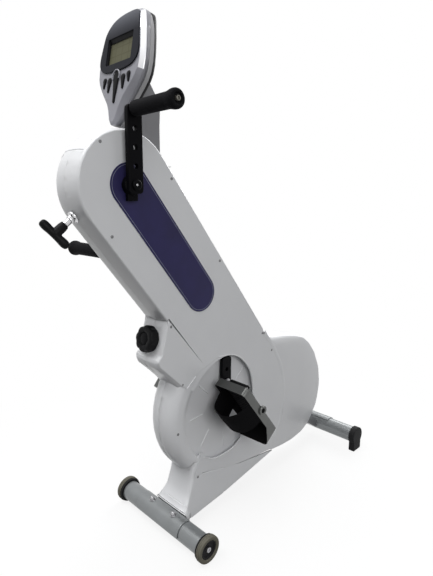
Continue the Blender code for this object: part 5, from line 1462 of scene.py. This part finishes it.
def camera(scene):
    data = bpy.data.cameras.new("camera")
    data.lens = 28.11
    data.sensor_width = 36.0
    data.sensor_fit = "AUTO"
    data.clip_start = 0.01
    scene.camera = linked("camera", data)
    right = Vector((0.70825472, 0.70593616, 0.00542131))
    up = Vector((-0.13349074, 0.12638044, 0.9829589))
    back = Vector((0.69322109, -0.69690897, 0.18374548))
    scene.camera.matrix_world = basis(right, up, back, from_tube(-0.64168, 0.8268, 0.82446))


def mixed(tree, factor, first, second):
    """Two shaders mixed by a socket."""
    return node(tree, "ShaderNodeMixShader", {0: factor, 1: first.outputs[0], 2: second.outputs[0]})


def seen_rays(tree):
    """1 for what the camera sees directly, mirrored or through something clear."""
    rays = node(tree, "ShaderNodeLightPath").outputs
    seen = maths(tree, "MAXIMUM", rays["Is Camera Ray"], rays["Is Glossy Ray"])
    return maths(tree, "MAXIMUM", seen, rays["Is Transmission Ray"])


def floor(colour):
    """A pale floor that fades to white and gives the machine little light back."""
    bm = bmesh.new()
    bmesh.ops.create_circle(bm, cap_ends=True, segments=96, radius=14.0)
    obj = object_from(bm, "floor")
    mat = bpy.data.materials.new("pale_floor")
    mat.use_nodes = True
    tree = mat.node_tree
    tree.nodes.remove(tree.nodes["Principled BSDF"])
    spot = place_in(tree)
    mottled = blend_colours(tree, noise(tree, spot, 3.0, 4.0), shade(colour, 0.985), shade(colour, 1.0))
    surface = node(tree, "ShaderNodeBsdfDiffuse", {"Color": mottled})
    dim = node(tree, "ShaderNodeBsdfDiffuse", {"Color": (0.04, 0.04, 0.04, 1.0)})
    glow = node(tree, "ShaderNodeEmission", {"Color": (1.0, 1.0, 1.0, 1.0)})
    reach = node(tree, "ShaderNodeVectorMath", {0: spot}, operation="LENGTH").outputs["Value"]
    fade = ranged(tree, reach, 0.30, 1.05, 0.84, interpolation_type="SMOOTHSTEP")
    both = mixed(tree, seen_rays(tree), dim, mixed(tree, fade, surface, glow))
    fill_in(tree, tree.nodes["Material Output"], {"Surface": both.outputs[0]})
    obj.data.materials.append(mat)


def sky(scene, level):
    """Light from all round, stronger from above, in front of a white ground."""
    scene.world = bpy.data.worlds.new("studio")
    scene.world.use_nodes = True
    tree = scene.world.node_tree
    way = node(tree, "ShaderNodeTexCoord").outputs["Generated"]
    rise = ranged(tree, parts_of(tree, way)["Z"], -0.1, 1.0, 0.2 * level, 1.6 * level)
    light = fill_in(tree, tree.nodes["Background"], {"Color": (0.97, 0.985, 1.0, 1.0), "Strength": rise})
    white = node(tree, "ShaderNodeBackground", {"Color": (1.0, 1.0, 1.0, 1.0), "Strength": 1.0})
    both = mixed(tree, seen_rays(tree), light, white)
    fill_in(tree, tree.nodes["World Output"], {"Surface": both.outputs[0]})


class TRAINER_OT_stage(bpy.types.Operator):
    """Lay the pale floor, hang the soft lamps and set the camera"""

    bl_idname = "trainer.stage"
    bl_label = "Studio"

    def execute(self, context):
        scene = context.scene
        settings = scene.trainer_studio
        camera(scene)
        floor(settings.floor_colour)
        lamp("key_lamp", (-0.4, -1.3, 3.3), (0, 0, 0.55), 2.2, settings.key_power)
        lamp("fill_lamp", (2.6, -1.2, 1.7), (0, 0, 0.5), 2.0, settings.fill_power)
        lamp("back_lamp", (-0.6, 2.6, 2.2), (0, 0, 0.6), 1.8, settings.fill_power * 1.6)
        sky(scene, settings.sky_level)
        scene.view_settings.view_transform = "Standard"
        return {"FINISHED"}


OPERATORS = (TRAINER_OT_finishes, TRAINER_OT_stage, TRAINER_OT_covers, TRAINER_OT_panels, TRAINER_OT_cover_lips,
             TRAINER_OT_cover_trim, TRAINER_OT_stand, TRAINER_OT_wheels, TRAINER_OT_hand_cranks,
             TRAINER_OT_foot_cranks, TRAINER_OT_pedals, TRAINER_OT_console, TRAINER_OT_lock_and_knob,
             TRAINER_OT_drive)


class TRAINER_PT_panel(bpy.types.Panel):
    """Lists the trainer's pieces and their settings"""

    bl_label = "Trainer"
    bl_idname = "TRAINER_PT_panel"
    bl_space_type = "VIEW_3D"
    bl_region_type = "UI"
    bl_category = "Trainer"

    def draw(self, context):
        layout = self.layout
        for operator in OPERATORS:
            layout.operator(operator.bl_idname)
        for name in SETTINGS:
            group = getattr(context.scene, name)
            box = layout.box()
            for key in group.bl_rna.properties.keys():
                if key not in {"rna_type", "name"}:
                    box.prop(group, key)


def register():
    for cls in (*SETTINGS.values(), *OPERATORS, TRAINER_PT_panel):
        bpy.utils.register_class(cls)
    for name, cls in SETTINGS.items():
        setattr(bpy.types.Scene, name, PointerProperty(type=cls))


def unregister():
    for name in SETTINGS:
        delattr(bpy.types.Scene, name)
    for cls in reversed((*SETTINGS.values(), *OPERATORS, TRAINER_PT_panel)):
        bpy.utils.unregister_class(cls)


def main():
    register()
    for name in ("Cube", "Light", "Camera"):
        old = bpy.data.objects.get(name)
        if old:
            bpy.data.objects.remove(old, do_unlink=True)
    for operator in OPERATORS:
        family, name = operator.bl_idname.split(".")
        getattr(getattr(bpy.ops, family), name)()


if __name__ == "__main__":
    main()
